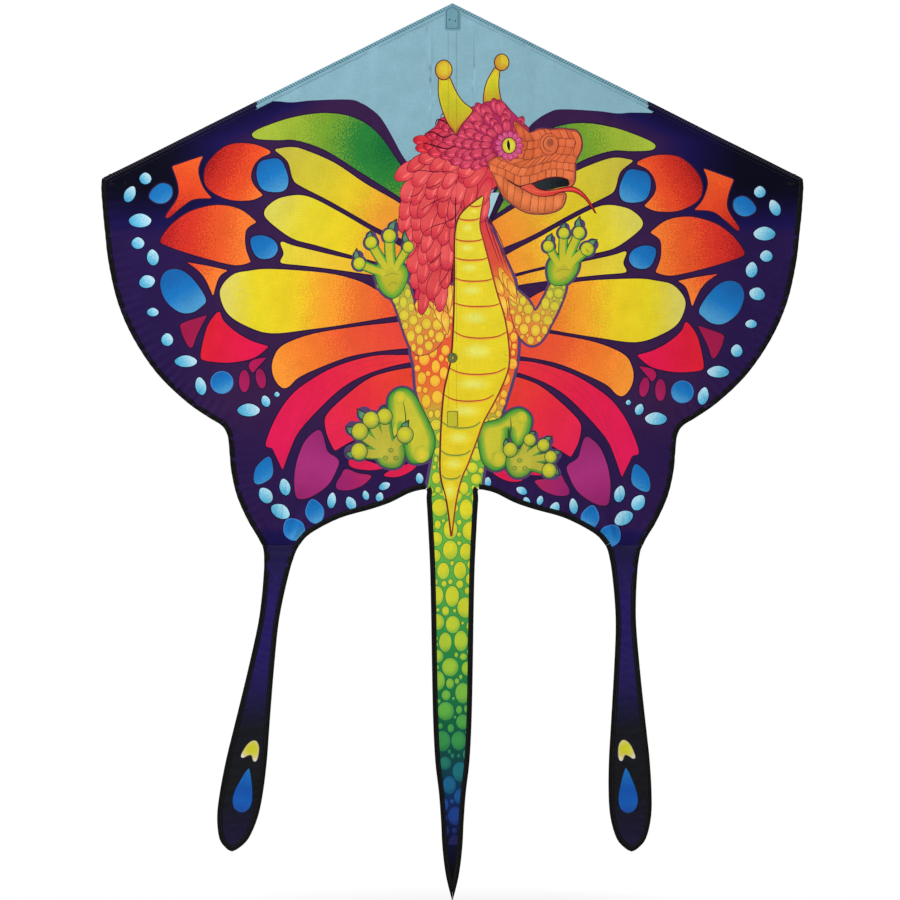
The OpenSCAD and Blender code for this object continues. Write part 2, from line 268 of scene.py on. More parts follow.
def bow_line(step=4.0, start=0.0):
    """The bow rod's centre line from the distance start along its first straight."""
    at = np.array(BOW_START, float)
    heading = math.radians(BOW_HEADING)
    line = [at + start * np.array([math.cos(heading), math.sin(heading)])]
    for run in BOW_RUNS:
        if run[0] == "line":
            at = at + run[1] * np.array([math.cos(heading), math.sin(heading)])
            line += list(resampled([line[-1], at], step)[1:])
        else:
            radius, turn = run[1], math.radians(run[2])
            centre = at + radius * np.array([math.sin(heading), -math.cos(heading)])
            count = max(3, int(radius * turn / step))
            for i in range(1, count + 1):
                h = heading - turn * i / count
                line.append(centre - radius * np.array([math.sin(h), -math.cos(h)]))
            heading -= turn
            at = line[-1]
    return np.array(line)


BOW = bow_line()


# ---------------------------------------------------------------- how the cloth lies
def rumple(p, size, seed, waves=14, stretch=(1, 1)):
    """Smooth random field of about unit size, with folds about size mm across."""
    rng = np.random.default_rng(seed)
    total = np.zeros(len(p))
    for _ in range(waves):
        a = rng.uniform(0, 2 * math.pi)
        length = size * rng.uniform(0.7, 1.8)
        k = 2 * math.pi / length
        total += np.sin(k * (math.cos(a) * p[:, 0] / stretch[0]
                             + math.sin(a) * p[:, 1] / stretch[1]) + rng.uniform(0, 6.3))
    return total / math.sqrt(waves / 2)


# Depths in mm, and the reach or spacing of each kind of fold
SAG, SAG_FOLD = 1.6, 170
DIMPLE, DIMPLE_FOLD = 0.35, 46
PUCKERS = ((OUTER, 1, 28, 3.2), (LOWER, 2, 18, 1.7))
PUCKER_PITCH = 2.9
PACKING_FOLDS = ((156, 0.7), (302, 0.55), (452, 0.5))
LEVEL_FOLD_Z, LEVEL_FOLD = 380, 0.5
FOLD_WIDTH = 5
SPAR_RIDGE, RIDGE_BELOW, RIDGE_WIDTH = 0.9, 9, 7
GATHER, GATHERS, GATHER_AT, GATHER_REACH = 3.6, 15, 22, 62


def sail_lift(p):
    """How far the sail stands off its plane, in mm along +Y."""
    p = np.array(p, float)
    x, z = np.abs(p[:, 0]), p[:, 1]
    q = np.stack([x, z], 1)
    side = np.sign(p[:, 0])
    slack = step_up(x, 14, 90)
    low = -SAG * slack * (0.6 + 0.4 * rumple(p, SAG_FOLD, 3))
    low += -DIMPLE * step_up(x, 20, 60) * rumple(p, DIMPLE_FOLD, 5)
    # puckers where the tape draws the free edges in
    for curve, seed, reach, amount in PUCKERS:
        gap, run = nearest(q, curve)
        phase = 1.3 * np.sin(run / 37 + seed + side) + 0.8 * np.sin(run / 91 + 2 * seed)
        low += -amount * np.exp(-gap / reach) * (0.5 + 0.5 * np.sin(run / PUCKER_PITCH + phase))
    # folds left by packing: upright lines and one level line across the wings
    for at, depth in PACKING_FOLDS:
        low += depth * np.exp(-((x - at) / FOLD_WIDTH) ** 2) * step_up(z, -300, -100)
    low += LEVEL_FOLD * np.exp(-((z - LEVEL_FOLD_Z) / FOLD_WIDTH) ** 2) * step_up(x, 40, 90)
    # the spar's line shows as a low ridge, and gathers radiate from the tail roots
    spar_z = UPPER_HUB_Z - x * math.tan(math.radians(SPAR_FALL))
    ridge = np.exp(-((z - spar_z + RIDGE_BELOW) / RIDGE_WIDTH) ** 2)
    low += SPAR_RIDGE * ridge * step_up(x, 60, 110)
    root = np.hypot(x - TAIL_X, z - TAIL_TOP_Z - 6)
    angle = np.arctan2(z - TAIL_TOP_Z + 14, x - TAIL_X)
    gathers = 0.5 + 0.5 * np.sin(GATHERS * angle + 0.9 * side + 0.02 * root)
    pull = -GATHER * gathers * np.exp(-((root - GATHER_AT) / GATHER_REACH) ** 2)
    low += pull * step_up(root, 14, 34)
    # flat where it is sewn to the bow sleeve, at the spine and at the eyelet
    bow_gap, _ = nearest(q, BOW)
    held = step_up(bow_gap, 7, 34) * step_up(x, 10, 26)
    return low * held


CREASES = ((0.8, 1.0, 2.7, 2.1, 60, 21), (0.6, -0.6, 4.4, 1.7, 80, 31))
CREASE_GROWTH = ([0, 0.1, 0.3, 0.6, 1], [1.5, 1.35, 1.15, 0.8, 0.75])
TAIL_BOW, TAIL_BOW_FOLD = 2.2, 260
ROOT_GATHER, ROOT_FADE = 2.6, 0.07


def tail_lift(p, side):
    """Puckers of a satin wing tail between its two taped edges."""
    p = np.array(p, float)
    share = np.clip((TAIL_TOP_Z - p[:, 1]) / TAIL_LEN, 0, 1)
    middle = TAIL_X + TAIL_LEAN[side] * TAIL_LEN * share
    across = np.abs(p[:, 0]) - middle
    half = np.interp(share, [s for s, _ in TAIL_FORM], [w for _, w in TAIL_FORM])
    centre = np.clip(1 - (across / np.maximum(half - 6, 4)) ** 2, 0, 1)
    slant = 0.35 * across * np.sin(share * 17 + side)
    creases = 0
    for depth, lean, pitch, wander, fold, seed in CREASES:
        creases += depth * np.sin((p[:, 1] + lean * slant) / pitch
                                  + wander * rumple(p, fold, seed + side))
    grip = np.exp(-np.maximum(half - np.abs(across) - BINDING_W, 0) / 9)
    low = np.interp(share, *CREASE_GROWTH) * creases * (0.35 * centre + 0.5 * grip)
    low += TAIL_BOW * rumple(p, TAIL_BOW_FOLD, 41 + side) * step_up(share, 0.1, 0.5)
    slack = np.clip(1 - np.abs(across) / np.maximum(half, 1), 0, 1) * np.exp(-share / ROOT_FADE)
    low += -ROOT_GATHER * slack * np.sin(0.33 * across + 2.2 * np.sin(p[:, 1] / 31) + side)
    root = step_up(share, 0.0, 0.035)
    return low * root + sail_lift(p) * (1 - root)


def centre_lift(p):
    """Gentle ripple of the centre tail below its seam."""
    p = np.array(p, float)
    below = step_up(SEAM_Z - p[:, 1], 0, 90)
    return below * (1.2 * rumple(p, 210, 51) + 0.3 * rumple(p, 40, 52))


# ---------------------------------------------------------------- inks
def linear(colour):
    """The 0 to 255 sRGB colour as linear light."""
    c = np.array(colour, float) / 255
    return np.where(c <= 0.04045, c / 12.92, ((c + 0.055) / 1.055) ** 2.4)


def ink(*colours, along=None, around=None, grain=0.0):
    """Shading through the colours: along a line, around a centre (x, z, radius), or plain.
    grain is the share of airbrush speckle between neighbouring colours."""
    stops = np.array([linear(c) for c in colours] * (2 if len(colours) == 1 else 1))

    def shade(p, middle):
        def share(q):
            if along is not None:
                a, b = np.array(along[0], float), np.array(along[1], float)
                return (q - a) @ (b - a) / float((b - a) @ (b - a))
            if around is not None:
                return np.hypot(q[:, 0] - around[0], q[:, 1] - around[1]) / around[2]
            return np.zeros(len(q))
        last = len(stops) - 1
        i = np.clip((np.clip(share(middle), 0, 1) * last).astype(int), 0, last - 1)
        t = np.clip(np.clip(share(p), 0, 1) * last - i, 0, 1)
        return stops[i], stops[i + 1], t, np.full(len(p), grain)
    return shade


def mixed(a, b, t):
    """Colour a share t of the way from a to b."""
    return tuple((1 - t) * np.array(a) + t * np.array(b))


PURPLE, INDIGO, NIGHT = (58, 30, 74), (25, 17, 80), (2, 3, 8)
SKY, SKY_DEEP = (134, 175, 189), (118, 160, 176)
LINE = (40, 20, 56)


def field(p, middle):
    """Purple ground of the wings, nearly black towards the tips and the leading edge."""
    x, z = np.abs(p[:, 0]), p[:, 1]
    lead = NOSE_Z - x * (NOSE_Z - LEAD_END[1]) / LEAD_END[0]
    dark = 0.95 * step_up(x, 330, 560) * step_up(z, 180, 330)
    dark = np.maximum(dark, 0.75 * (1 - step_up(lead - z, 4, 90)) * step_up(x, 150, 300))
    dark = np.maximum(dark, 0.5 * (1 - step_up(z, -345, -300)))
    rim = step_up(x, 380, 560) * 0.35 + 0.3 * step_up(-z, 60, 200)
    t = np.clip(np.maximum(dark, rim * 0.8), 0, 1)
    stops = np.array([linear(PURPLE), linear(INDIGO), linear(NIGHT)])
    tone = np.stack([np.interp(t, [0, 0.45, 1], stops[:, k]) for k in range(3)], 1)
    return tone, tone * 0.7, np.full(len(p), 0.4), np.full(len(p), 0.35)


PRINT = []


def paint(outline, shade, spots=()):
    """Adds a shape on top of what is printed so far."""
    outline = np.array(outline, float)
    PRINT.append((outline, shade, list(spots), outline.min(0), outline.max(0)))


def softened(outline, reach=3.0, step=1.5):
    """The closed outline with its corners rounded off."""
    line = resampled(np.concatenate([outline, outline[:1]]), step)[:-1]
    n = int(round(reach / step))
    return sum(np.roll(line, k, 0) for k in range(-n, n + 1))[::2] / (2 * n + 1)


CELL_LINE = 2.6


def cell(points, side, shade):
    """A wing cell: a dark line round a shaded shape."""
    outline = softened(smooth(mirrored(points, side), closed=True))
    paint(grown(outline, CELL_LINE), ink(LINE))
    paint(outline, shade)


def register(first, matrix, shift):
    """Moves the shapes printed from number first on, inks and all, to their measured place."""
    m, s = np.array(matrix, float), np.array(shift, float)
    back = np.linalg.inv(m)

    def moved(shade):
        return lambda p, middle: shade((p - s) @ back.T, (middle - s) @ back.T)
    for i in range(first, len(PRINT)):
        outline, shade, spots, _, _ = PRINT[i]
        outline = outline @ m.T + s
        spots = [tuple(m @ np.array(q) + s) for q in spots]
        PRINT[i] = (outline, moved(shade), spots, outline.min(0), outline.max(0))


# ---------------------------------------------------------------- the wings' print
SKY_EDGE = [
    (372, 481), (333, 481), (305, 479), (266, 483), (198, 485), (174, 478), (153, 465),
    (136, 448), (116, 414), (99, 382), (84, 359), (69, 323), (56, 285), (40, 245),
]
GREEN_CELL = [
    (374, 424), (380, 416), (369, 409), (331, 407), (296, 407), (241, 388), (179, 349),
    (116, 309), (56, 268), (56, 268), (69, 313), (104, 365), (144, 421), (187, 450),
    (241, 459), (301, 451), (350, 435),
]
YELLOW_TOP = [
    (337, 388), (329, 391), (305, 394), (279, 388), (224, 364), (168, 326), (112, 294),
    (35, 245), (35, 245), (35, 184), (35, 184), (82, 213), (144, 241), (230, 290),
    (288, 320), (303, 333), (311, 363), (322, 376),
]
YELLOW_MID = [
    (357, 270), (344, 287), (320, 299), (277, 301), (219, 273), (164, 241), (106, 209),
    (35, 165), (35, 165), (35, 146), (35, 146), (102, 165), (192, 189), (260, 208),
    (305, 221), (348, 253),
]
YELLOW_THIN = [
    (326, 214), (299, 206), (219, 187), (140, 169), (35, 135), (35, 135), (35, 126),
    (35, 126), (121, 146), (189, 157), (273, 168), (322, 173), (326, 179), (320, 192),
]
AMBER = [
    (440, 112), (434, 133), (414, 152), (387, 158), (344, 162), (241, 155), (174, 138),
    (116, 108), (27, 86), (27, 86), (110, 74), (202, 58), (271, 48), (346, 40), (397, 57),
    (427, 79),
]
ORANGE_CELL = [
    (342, -30), (339, -7), (322, 17), (266, 39), (179, 54), (110, 62), (27, 72), (27, 72),
    (27, 17), (27, 17), (110, 11), (179, 1), (222, -12), (288, -41), (309, -60),
    (322, -64), (335, -51),
]
CRIMSON_CELL = [
    (354, -171), (335, -121), (307, -79), (273, -51), (221, -22), (151, -2), (91, 0),
    (27, 2), (27, 2), (27, -9), (27, -9), (91, -15), (155, -33), (204, -58), (245, -94),
    (290, -144), (307, -178), (322, -220), (322, -220), (337, -188), (342, -178),
]
SCARLET_CELL = [
    (87, -25), (134, -35), (168, -50), (209, -83), (237, -111), (243, -128), (237, -157),
    (224, -183), (224, -183), (196, -166), (164, -151), (102, -114), (46, -85), (46, -85),
    (46, -21), (46, -21),
]
MAGENTA_CELL = [
    (258, -144), (249, -147), (243, -166), (237, -185), (217, -200), (221, -219),
    (237, -248), (266, -269), (290, -275), (298, -266), (300, -231), (293, -195), (279, -163),
]
PLUM_CELL = [
    (204, -217), (181, -225), (156, -229), (159, -236), (172, -248), (196, -257),
    (219, -256), (221, -244), (213, -231),
]
SLIVER_OUT = [
    (196, -197), (197, -210), (181, -217), (155, -219), (129, -215), (129, -215),
    (155, -204), (181, -198),
]
SLIVER_IN = [(131, -230), (129, -225), (106, -213), (76, -205), (71, -211), (87, -224), (110, -232)]
BOW_TIE = [
    (530, 356), (530, 356), (472, 376), (472, 376), (481, 349), (472, 317), (455, 296),
    (455, 296), (489, 294), (511, 280), (536, 259), (541, 263), (519, 297), (519, 324),
]
CRESCENT = [
    (344, 384), (369, 397), (397, 401), (425, 397), (449, 380), (466, 357), (470, 332),
    (461, 313), (436, 298), (412, 292), (380, 293), (359, 302), (359, 302), (376, 321),
    (382, 338), (376, 359), (363, 374),
]
LEAF_CELL = [
    (552, 215), (534, 242), (506, 265), (477, 277), (442, 283), (402, 275), (371, 251),
    (371, 251), (389, 239), (393, 222), (391, 199), (382, 175), (382, 175), (412, 169),
    (468, 182), (511, 195), (541, 206),
]
ARROW = [
    (502, 174), (502, 174), (461, 167), (425, 159), (425, 159), (442, 146), (453, 110),
    (453, 110), (466, 140), (481, 159),
]
RUBY = [
    (442, 81), (434, 64), (410, 42), (380, 25), (348, 15), (348, 15), (374, -6),
    (410, -15), (438, -16), (470, -12), (476, -3), (470, 30), (461, 58),
]
MAROON_BIG = [
    (464, 74), (464, 74), (511, 58), (513, 47), (509, 33), (498, 13), (491, 14), (483, 37),
]
MAROON_SMALL = [(352, -6), (352, -6), (378, -11), (386, -23), (378, -36), (378, -36), (369, -25)]
BLUES = [
    [(367, 363), (346, 371), (326, 369), (312, 337), (316, 314), (335, 308), (361, 314), (371, 338)],
    [(382, 220), (361, 226), (339, 217), (331, 200), (342, 184), (365, 182), (378, 196)],
    [(573, 297), (567, 312), (550, 324), (532, 318), (530, 301), (541, 288), (558, 286)],
    [(552, 132), (543, 155), (522, 161), (500, 151), (479, 127), (466, 102), (474, 91),
     (491, 79), (515, 79), (541, 100)],
    [(350, -194), (342, -205), (342, -232), (365, -247), (376, -241), (372, -215)],
]
# Small pale dots near the edge: x, z, half width, half height, turn
DOTS = [
    (580, 333, 11, 11, 0), (609, 303, 10, 16, 25), (590, 253, 21, 13, 0), (594, 210, 12, 11, 0),
    (566, 183, 11, 15, -8), (577, 137, 15, 12, -15), (566, 79, 11, 8, 0), (539, 27, 11, 12, 0),
    (504, -14, 21, 11, 0), (476, -61, 10, 17, -12), (386, -106, 21, 12, 0), (354, -89, 8, 11, -20),
    (333, -76, 5, 5, 0), (354, -268, 12, 16, -32), (318, -252, 10, 16, -12),
    (326, -298, 19, 13, 30), (230, -277, 8, 15, 8), (194, -282, 9, 13, -25),
    (166, -267, 6, 9, -15), (140, -270, 7, 9, 15), (131, -249, 11, 7, -25), (65, -234, 7, 10, -8),
]
DROPS = [(436, -54, 20, 20, 0, 0.0), (262, -298, 16, 22, -12, 0.4), (301, -332, 19, 21, -35, 0.3)]
GARNETS = [(394, -51, 10, 21, 0), (363, -46, 9, 19, -10)]


def wing_print(side):
    """Cells, dots and edge bands of one wing."""
    def mirror(*points):
        return tuple(mirrored(points, side))

    sky = smooth(mirrored(SKY_EDGE, side), 4)
    top = mirrored([(0, 690), (420, 520)], side)
    paint(np.concatenate([sky, [(0, 200)], top]),
          ink(SKY_DEEP, SKY, SKY, along=mirror((60, 240), (60, 640)), grain=0.25))
    cell(GREEN_CELL, side, ink((22, 104, 52), (40, 126, 54), (112, 156, 46), (150, 176, 52),
                               (166, 186, 60), around=(side * 120, 395, 250), grain=0.9))
    cell(YELLOW_TOP, side, ink((196, 184, 66), (206, 192, 52), (224, 196, 38), (234, 154, 48),
                               (238, 132, 46), along=mirror((330, 385), (70, 215)), grain=0.8))
    cell(YELLOW_MID, side, ink((214, 205, 86), (226, 208, 44), (232, 206, 36), (240, 160, 48),
                               (236, 130, 46), along=mirror((350, 262), (70, 165)), grain=0.8))
    cell(YELLOW_THIN, side, ink((226, 208, 60), (236, 190, 48), (240, 140, 46),
                                along=mirror((320, 190), (90, 145)), grain=0.8))
    cell(AMBER, side, ink((214, 204, 100), (228, 208, 36), (234, 204, 36), (242, 160, 44),
                          (238, 112, 46), (232, 82, 50),
                          along=mirror((440, 100), (110, 90)), grain=0.85))
    cell(ORANGE_CELL, side, ink((246, 152, 52), (242, 122, 44), (234, 84, 50), (230, 70, 56),
                                along=mirror((340, -40), (110, 45)), grain=0.7))
    cell(CRIMSON_CELL, side, ink((222, 26, 84), (226, 32, 72), (232, 52, 58),
                                 along=mirror((330, -170), (110, -5))))
    cell(SCARLET_CELL, side, ink((228, 36, 78), (230, 44, 62), (230, 64, 46),
                                 along=mirror((235, -150), (100, -40))))
    cell(MAGENTA_CELL, side, ink((146, 38, 104), (168, 48, 122), (150, 36, 104),
                                 along=mirror((240, -150), (280, -270))))
    cell(PLUM_CELL, side, ink((150, 34, 106), (176, 36, 92), along=mirror((215, -250), (160, -228))))
    cell(SLIVER_OUT, side, ink((222, 30, 78)))
    cell(SLIVER_IN, side, ink((222, 30, 78)))
    cell(BOW_TIE, side, ink((186, 34, 32), (226, 72, 36), (238, 96, 40),
                            along=mirror((535, 262), (475, 370)), grain=0.6))
    cell(CRESCENT, side, ink((160, 24, 28), (204, 48, 34), (230, 78, 38), (240, 118, 46),
                             along=mirror((470, 360), (362, 305)), grain=0.85))
    cell(LEAF_CELL, side, ink((176, 28, 34), (212, 52, 36), (232, 88, 40), (242, 124, 48),
                              along=mirror((550, 220), (385, 205)), grain=0.85))
    cell(ARROW, side, ink((226, 66, 42), (246, 130, 50), along=mirror((500, 170), (440, 135)),
                          grain=0.6))
    cell(RUBY, side, ink((216, 30, 46), (224, 24, 76), along=mirror((475, 30), (370, 10))))
    cell(MAROON_BIG, side, ink((158, 26, 72)))
    cell(MAROON_SMALL, side, ink((178, 24, 84)))
    for points in BLUES:
        x, z = np.mean(points, axis=0)
        cell(points, side, ink((22, 96, 166), (26, 116, 188), (76, 154, 204),
                               along=mirror((x + 22, z + 30), (x - 18, z - 32)), grain=0.3))
    for x, z, rx, rz, turn, point in DROPS:
        drop = oval(side * x, z, rx, rz, side * turn, point)
        paint(grown(drop, 1.6), ink((60, 130, 205)))
        paint(drop, ink((20, 98, 170), (28, 118, 190), (80, 156, 206),
                        along=mirror((x + 12, z + 20), (x - 8, z - 20)), grain=0.3))
    for x, z, rx, rz, turn in GARNETS:
        gem = oval(side * x, z, rx, rz, side * turn)
        paint(grown(gem, 2), ink(LINE))
        paint(gem, ink((150, 26, 78), (172, 30, 92), along=mirror((x, z + rz), (x, z - rz))))
    for x, z, rx, rz, turn in DOTS:
        dot = oval(side * x, z, rx, rz, side * turn, 0.25)
        paint(grown(dot, 1.6), ink((12, 14, 44)))
        paint(dot, ink((50, 140, 190), (96, 182, 216), (160, 212, 232), (216, 232, 242),
                       along=mirror((x + rx, z - rz), (x - rx, z + rz)), grain=0.5))


def tail_print(side):
    """Arch and drop on a wing tail."""
    lean = TAIL_LEAN[side] * TAIL_LEN

    def place(points, share, shift):
        z0 = TAIL_TOP_Z - TAIL_LEN * share
        x0 = TAIL_X + lean * share + shift
        turn = -math.atan(TAIL_LEAN[side]) - 0.05
        c, s = math.cos(turn), math.sin(turn)
        return [(side * (x0 + x * c + z * s), z0 - x * s + z * c) for x, z in points]

    arch = [(-4, 19), (4, 15), (10, 6), (14, -5), (16, -13), (15, -17), (11, -17), (6, -13),
            (-1, -9), (-5, -12), (-7, -17), (-10, -20), (-14, -18), (-15.5, -8), (-14, 6),
            (-10, 15)]
    outline = smooth(place(arch, 0.668, -5.5), 3, closed=True)
    middle = place([(-1, 2)], 0.668, -5.5)[0]
    paint(grown(outline, 1.0), ink((90, 80, 110)))
    paint(outline, ink((204, 204, 34), (206, 202, 50), (214, 204, 110), (232, 222, 210),
                       around=(*middle, 24), grain=0.5), [middle])
    drop = [(0, 43), (0, 43), (-5, 32), (-11, 14), (-16, -4), (-18, -20), (-15, -34), (-6, -42),
            (4, -42), (13, -36), (18, -22), (17, -4), (12, 14), (6, 32)]
    outline = smooth(place(drop, 0.8, -5), 3, closed=True)
    paint(grown(outline, 1.4), ink((4, 8, 34)))
    paint(outline, ink((20, 118, 190), (6, 96, 178), (4, 80, 170), (6, 88, 176), (24, 70, 150),
                       along=place([(0, 46), (0, -46)], 0.8, -5), grain=0.6))


# ---------------------------------------------------------------- the dragon
HALO = (86, 64, 108)
CREST = [
    (139, 428), (121, 448), (103, 466), (89, 481), (71, 482), (55, 480), (44, 473), (31, 472),
    (10, 462), (-5, 454), (-29, 450), (-39, 434), (-57, 420), (-66, 405), (-65, 392), (-44, 386),
    (-17, 378), (-12, 369), (7, 365), (31, 362), (57, 360), (80, 354), (112, 372), (132, 400),
]
MANE = [
    (-44, 390), (-69, 378), (-90, 348), (-95, 313), (-93, 275), (-85, 228), (-77, 184),
    (-71, 142), (-75, 106), (-39, 120), (-8, 139), (-1, 219), (6, 261), (23, 282), (55, 307),
    (85, 330), (85, 362), (28, 390),
]
NAPE = [
    (51, 324), (57, 269), (69, 244), (86, 202), (104, 164), (115, 136), (108, 113), (81, 121),
    (65, 174), (54, 215), (46, 251), (46, 295),
]
SNOUT = [
    (110, 444), (127, 435), (141, 423), (151, 428), (161, 431), (180, 430), (199, 432), (215, 430),
    (228, 428), (237, 416), (239, 397), (233, 381), (227, 370), (227, 349), (225, 330), (215, 321),
    (209, 335), (196, 338), (175, 336), (151, 328), (124, 320), (143, 308), (170, 302), (206, 310),
    (207, 293), (199, 280), (180, 272), (156, 270), (132, 274), (108, 288), (89, 306), (79, 325),
    (70, 345), (62, 366), (80, 378), (104, 376), (120, 392), (116, 420),
]
MOUTH = [
    (151, 325), (164, 332), (188, 337), (209, 336), (215, 329), (212, 324), (193, 320), (177, 316),
    (161, 318),
]
TONGUE = [
    (124, 320), (143, 326), (156, 317), (175, 313), (196, 317), (220, 321), (239, 312), (255, 293),
    (267, 270), (267, 270), (257, 285), (244, 301), (225, 312), (201, 312), (183, 305), (161, 304),
    (143, 309), (129, 317),
]
HORN_LEFT = [
    (-33, 526), (-33, 526), (-33, 498), (-28, 474), (-17, 445), (-7, 429), (1, 420), (9, 437),
    (28, 460), (29, 468), (12, 482), (-1, 501), (-12, 526), (-12, 526),
]
HORN_RIGHT = [
    (73, 546), (73, 546), (60, 523), (54, 502), (52, 480), (52, 480), (86, 480), (86, 480),
    (80, 512), (82, 542), (82, 542),
]
BELLY_LEFT = [
    (51, 303), (23, 282), (6, 261), (-1, 226), (-1, 156), (-2, 69), (-6, -2), (-13, -38),
    (-20, -72), (-24, -125), (-26, -178), (-25, -230), (-13, -279), (-4, -344),
]
BELLY_RIGHT = [
    (53, 301), (46, 251), (54, 215), (65, 174), (79, 121), (95, 69), (103, 16), (103, -20),
    (92, -54), (75, -90), (56, -125), (43, -161), (26, -207), (14, -235), (4, -279), (-4, -344),
]
PLATES = [283, 257, 217, 181, 141, 93, 33, -36, -87, -138, -190, -235]
BODY_LEFT = [
    (-18, 133), (-46, 120), (-73, 103), (-82, 47), (-82, 4), (-76, -21), (-72, -67),
    (-60, -101), (-45, -129), (-37, -161), (-44, -218), (-52, -262),
]
BODY_RIGHT = [
    (81, 134), (102, 113), (115, 90), (119, 51), (120, 16), (116, -20), (107, -54), (96, -90),
    (84, -125), (62, -180), (51, -262),
]
ARM_LEFT = [
    (-149, 132), (-120, 108), (-103, 66), (-89, 26), (-74, 2), (-53, 2), (-31, 17), (-15, 48),
    (-16, 95), (-39, 112), (-71, 80), (-82, 114), (-96, 139),
]
ARM_RIGHT = [
    (210, 137), (201, 100), (182, 60), (165, 30), (146, 20), (129, 30), (114, 54), (102, 106),
    (109, 128), (138, 106), (153, 85), (172, 115), (183, 136),
]
PALM_LEFT = [
    (-153, 161), (-138, 176), (-115, 176), (-96, 169), (-90, 150), (-100, 123), (-118, 108),
    (-141, 123),
]
PALM_RIGHT = [
    (178, 178), (193, 190), (215, 192), (234, 182), (231, 159), (212, 137), (185, 136),
    (176, 155),
]
LEG_LEFT = [
    (-121, -150), (-125, -107), (-123, -78), (-102, -63), (-79, -72), (-56, -112), (-37, -158),
    (-44, -194), (-65, -205), (-84, -202), (-94, -177), (-96, -133), (-104, -147), (-112, -165),
]
LEG_RIGHT = [
    (48, -136), (86, -121), (107, -105), (128, -101), (145, -115), (145, -136), (134, -162),
    (119, -172), (109, -157), (103, -138), (100, -183), (98, -208), (81, -218), (64, -212),
    (51, -191),
]
FOOT_LEFT = [
    (-136, -160), (-105, -162), (-94, -184), (-101, -209), (-120, -215), (-141, -206), (-148, -181),
]
FOOT_RIGHT = [
    (100, -195), (117, -179), (142, -181), (150, -202), (140, -225), (117, -231), (102, -217),
]
# Fingers and toes: ball x, z, radius, then the claw's tip
HANDS = {
    "palm_l": ((-120, 150), [(-182, 173, 11, -187, 202), (-160, 213, 11, -160, 236),
                             (-125, 226, 12, -111, 258), (-89, 205, 10, -96, 238)]),
    "palm_r": ((205, 160), [(177, 208, 10, 184, 233), (206, 233, 10, 209, 254),
                            (235, 234, 11, 237, 266), (251, 203, 12, 270, 221)]),
    "foot_l": ((-120, -186), [(-93, -152, 15, -86, -124), (-132, -117, 14, -131, -97),
                              (-158, -124, 15, -184, -102), (-179, -146, 15, -206, -136),
                              (-180, -184, 15, -208, -187)]),
    "foot_r": ((124, -204), [(107, -179, 13, 99, -157), (144, -160, 11, 155, -144),
                             (170, -170, 11, 187, -153), (184, -192, 11, 204, -183),
                             (181, -218, 13, 200, -227)]),
}


SCALE_MARGIN = 0.75


def scatter(region, sizes, gap, seed, tries):
    """Ovals thrown into the region, largest first, that stay clear of each other."""
    rng = random.Random(seed)
    low, high = region.min(0), region.max(0)
    kept = []
    for size in sizes:
        for _ in range(tries):
            x, z = rng.uniform(low[0], high[0]), rng.uniform(low[1], high[1])
            rx = size * rng.uniform(0.7, 1.0)
            rz = size * rng.uniform(0.95, 1.25)
            if any((x - a) ** 2 / (rx + c + gap) ** 2 + (z - b) ** 2 / (rz + d + gap) ** 2 < 1
                   for a, b, c, d in kept):
                continue
            rim = oval(x, z, rx * SCALE_MARGIN, rz * SCALE_MARGIN)
            if inside(rim, region).all():
                kept.append((x, z, rx, rz))
    return kept


def by_height(stops, z):
    """Colour at the height z, from (height, colour) stops that run downwards."""
    heights = [-s[0] for s in stops]
    return tuple(np.interp(-z, heights, [s[1][k] for s in stops]) for k in range(3))


BODY_GROUND = [
    (140, (240, 160, 60)), (70, (236, 110, 60)), (0, (232, 82, 52)), (-70, (236, 120, 50)),
    (-110, (190, 180, 60)), (-170, (120, 176, 60)), (-260, (110, 178, 62)), (-420, (92, 172, 70)),
    (-560, (40, 136, 66)), (-690, (18, 100, 58)), (-760, (14, 70, 60)), (-830, (12, 48, 84)),
    (-880, (20, 28, 76)), (-930, (12, 12, 40)), (-1000, (4, 4, 12)),
]
SCALE_FILL = [
    (140, (246, 210, 70)), (0, (246, 190, 60)), (-90, (244, 196, 56)), (-150, (214, 210, 60)),
    (-300, (222, 212, 44)), (-480, (200, 206, 50)), (-600, (150, 192, 58)), (-690, (84, 166, 70)),
    (-750, (44, 132, 76)), (-800, (28, 104, 128)), (-860, (28, 70, 150)), (-920, (34, 36, 88)),
    (-1000, (16, 12, 34)),
]
SCALE_EDGE = [
    (140, (190, 84, 48)), (0, (206, 70, 44)), (-90, (200, 96, 48)), (-150, (96, 140, 50)),
    (-300, (60, 146, 70)), (-600, (20, 112, 70)), (-750, (10, 70, 84)), (-850, (14, 40, 100)),
    (-1000, (6, 6, 20)),
]


def scales(ovals):
    """Round scales with a dark edge and a light middle."""
    for x, z, rx, rz in ovals:
        fill, edge = by_height(SCALE_FILL, z), by_height(SCALE_EDGE, z)
        shape = oval(x, z, rx, rz)
        mid = mixed(fill, by_height(BODY_GROUND, z), 0.45)
        paint(grown(shape, 1.3), ink(edge))
        paint(shape, ink(fill, fill, mid, around=(x - rx * 0.15, z + rz * 0.15, max(rx, rz) * 1.1)),
              [(x, z)])


def vertical(stops, top, bottom, steps=12):
    """Ink through the height stops between two heights."""
    colours = [by_height(stops, top + (bottom - top) * i / steps) for i in range(steps + 1)]
    return ink(*colours, along=((0, top), (0, bottom)))


def leaf(x, z, length, width, turn):
    """Pointed feather outline: base at x, z, tip at the heading turn."""
    u = np.linspace(0, 1, 8)
    half = width / 2 * np.sin(math.pi * u ** 0.62)
    along, across = np.append(u, u[-2:0:-1]), np.append(half, -half[-2:0:-1])
    return turned(along * length, across, x, z, turn)


def ahead(x, z, length, turn):
    """The point that lies length from x, z at the heading turn."""
    return (x + length * math.cos(math.radians(turn)), z + length * math.sin(math.radians(turn)))


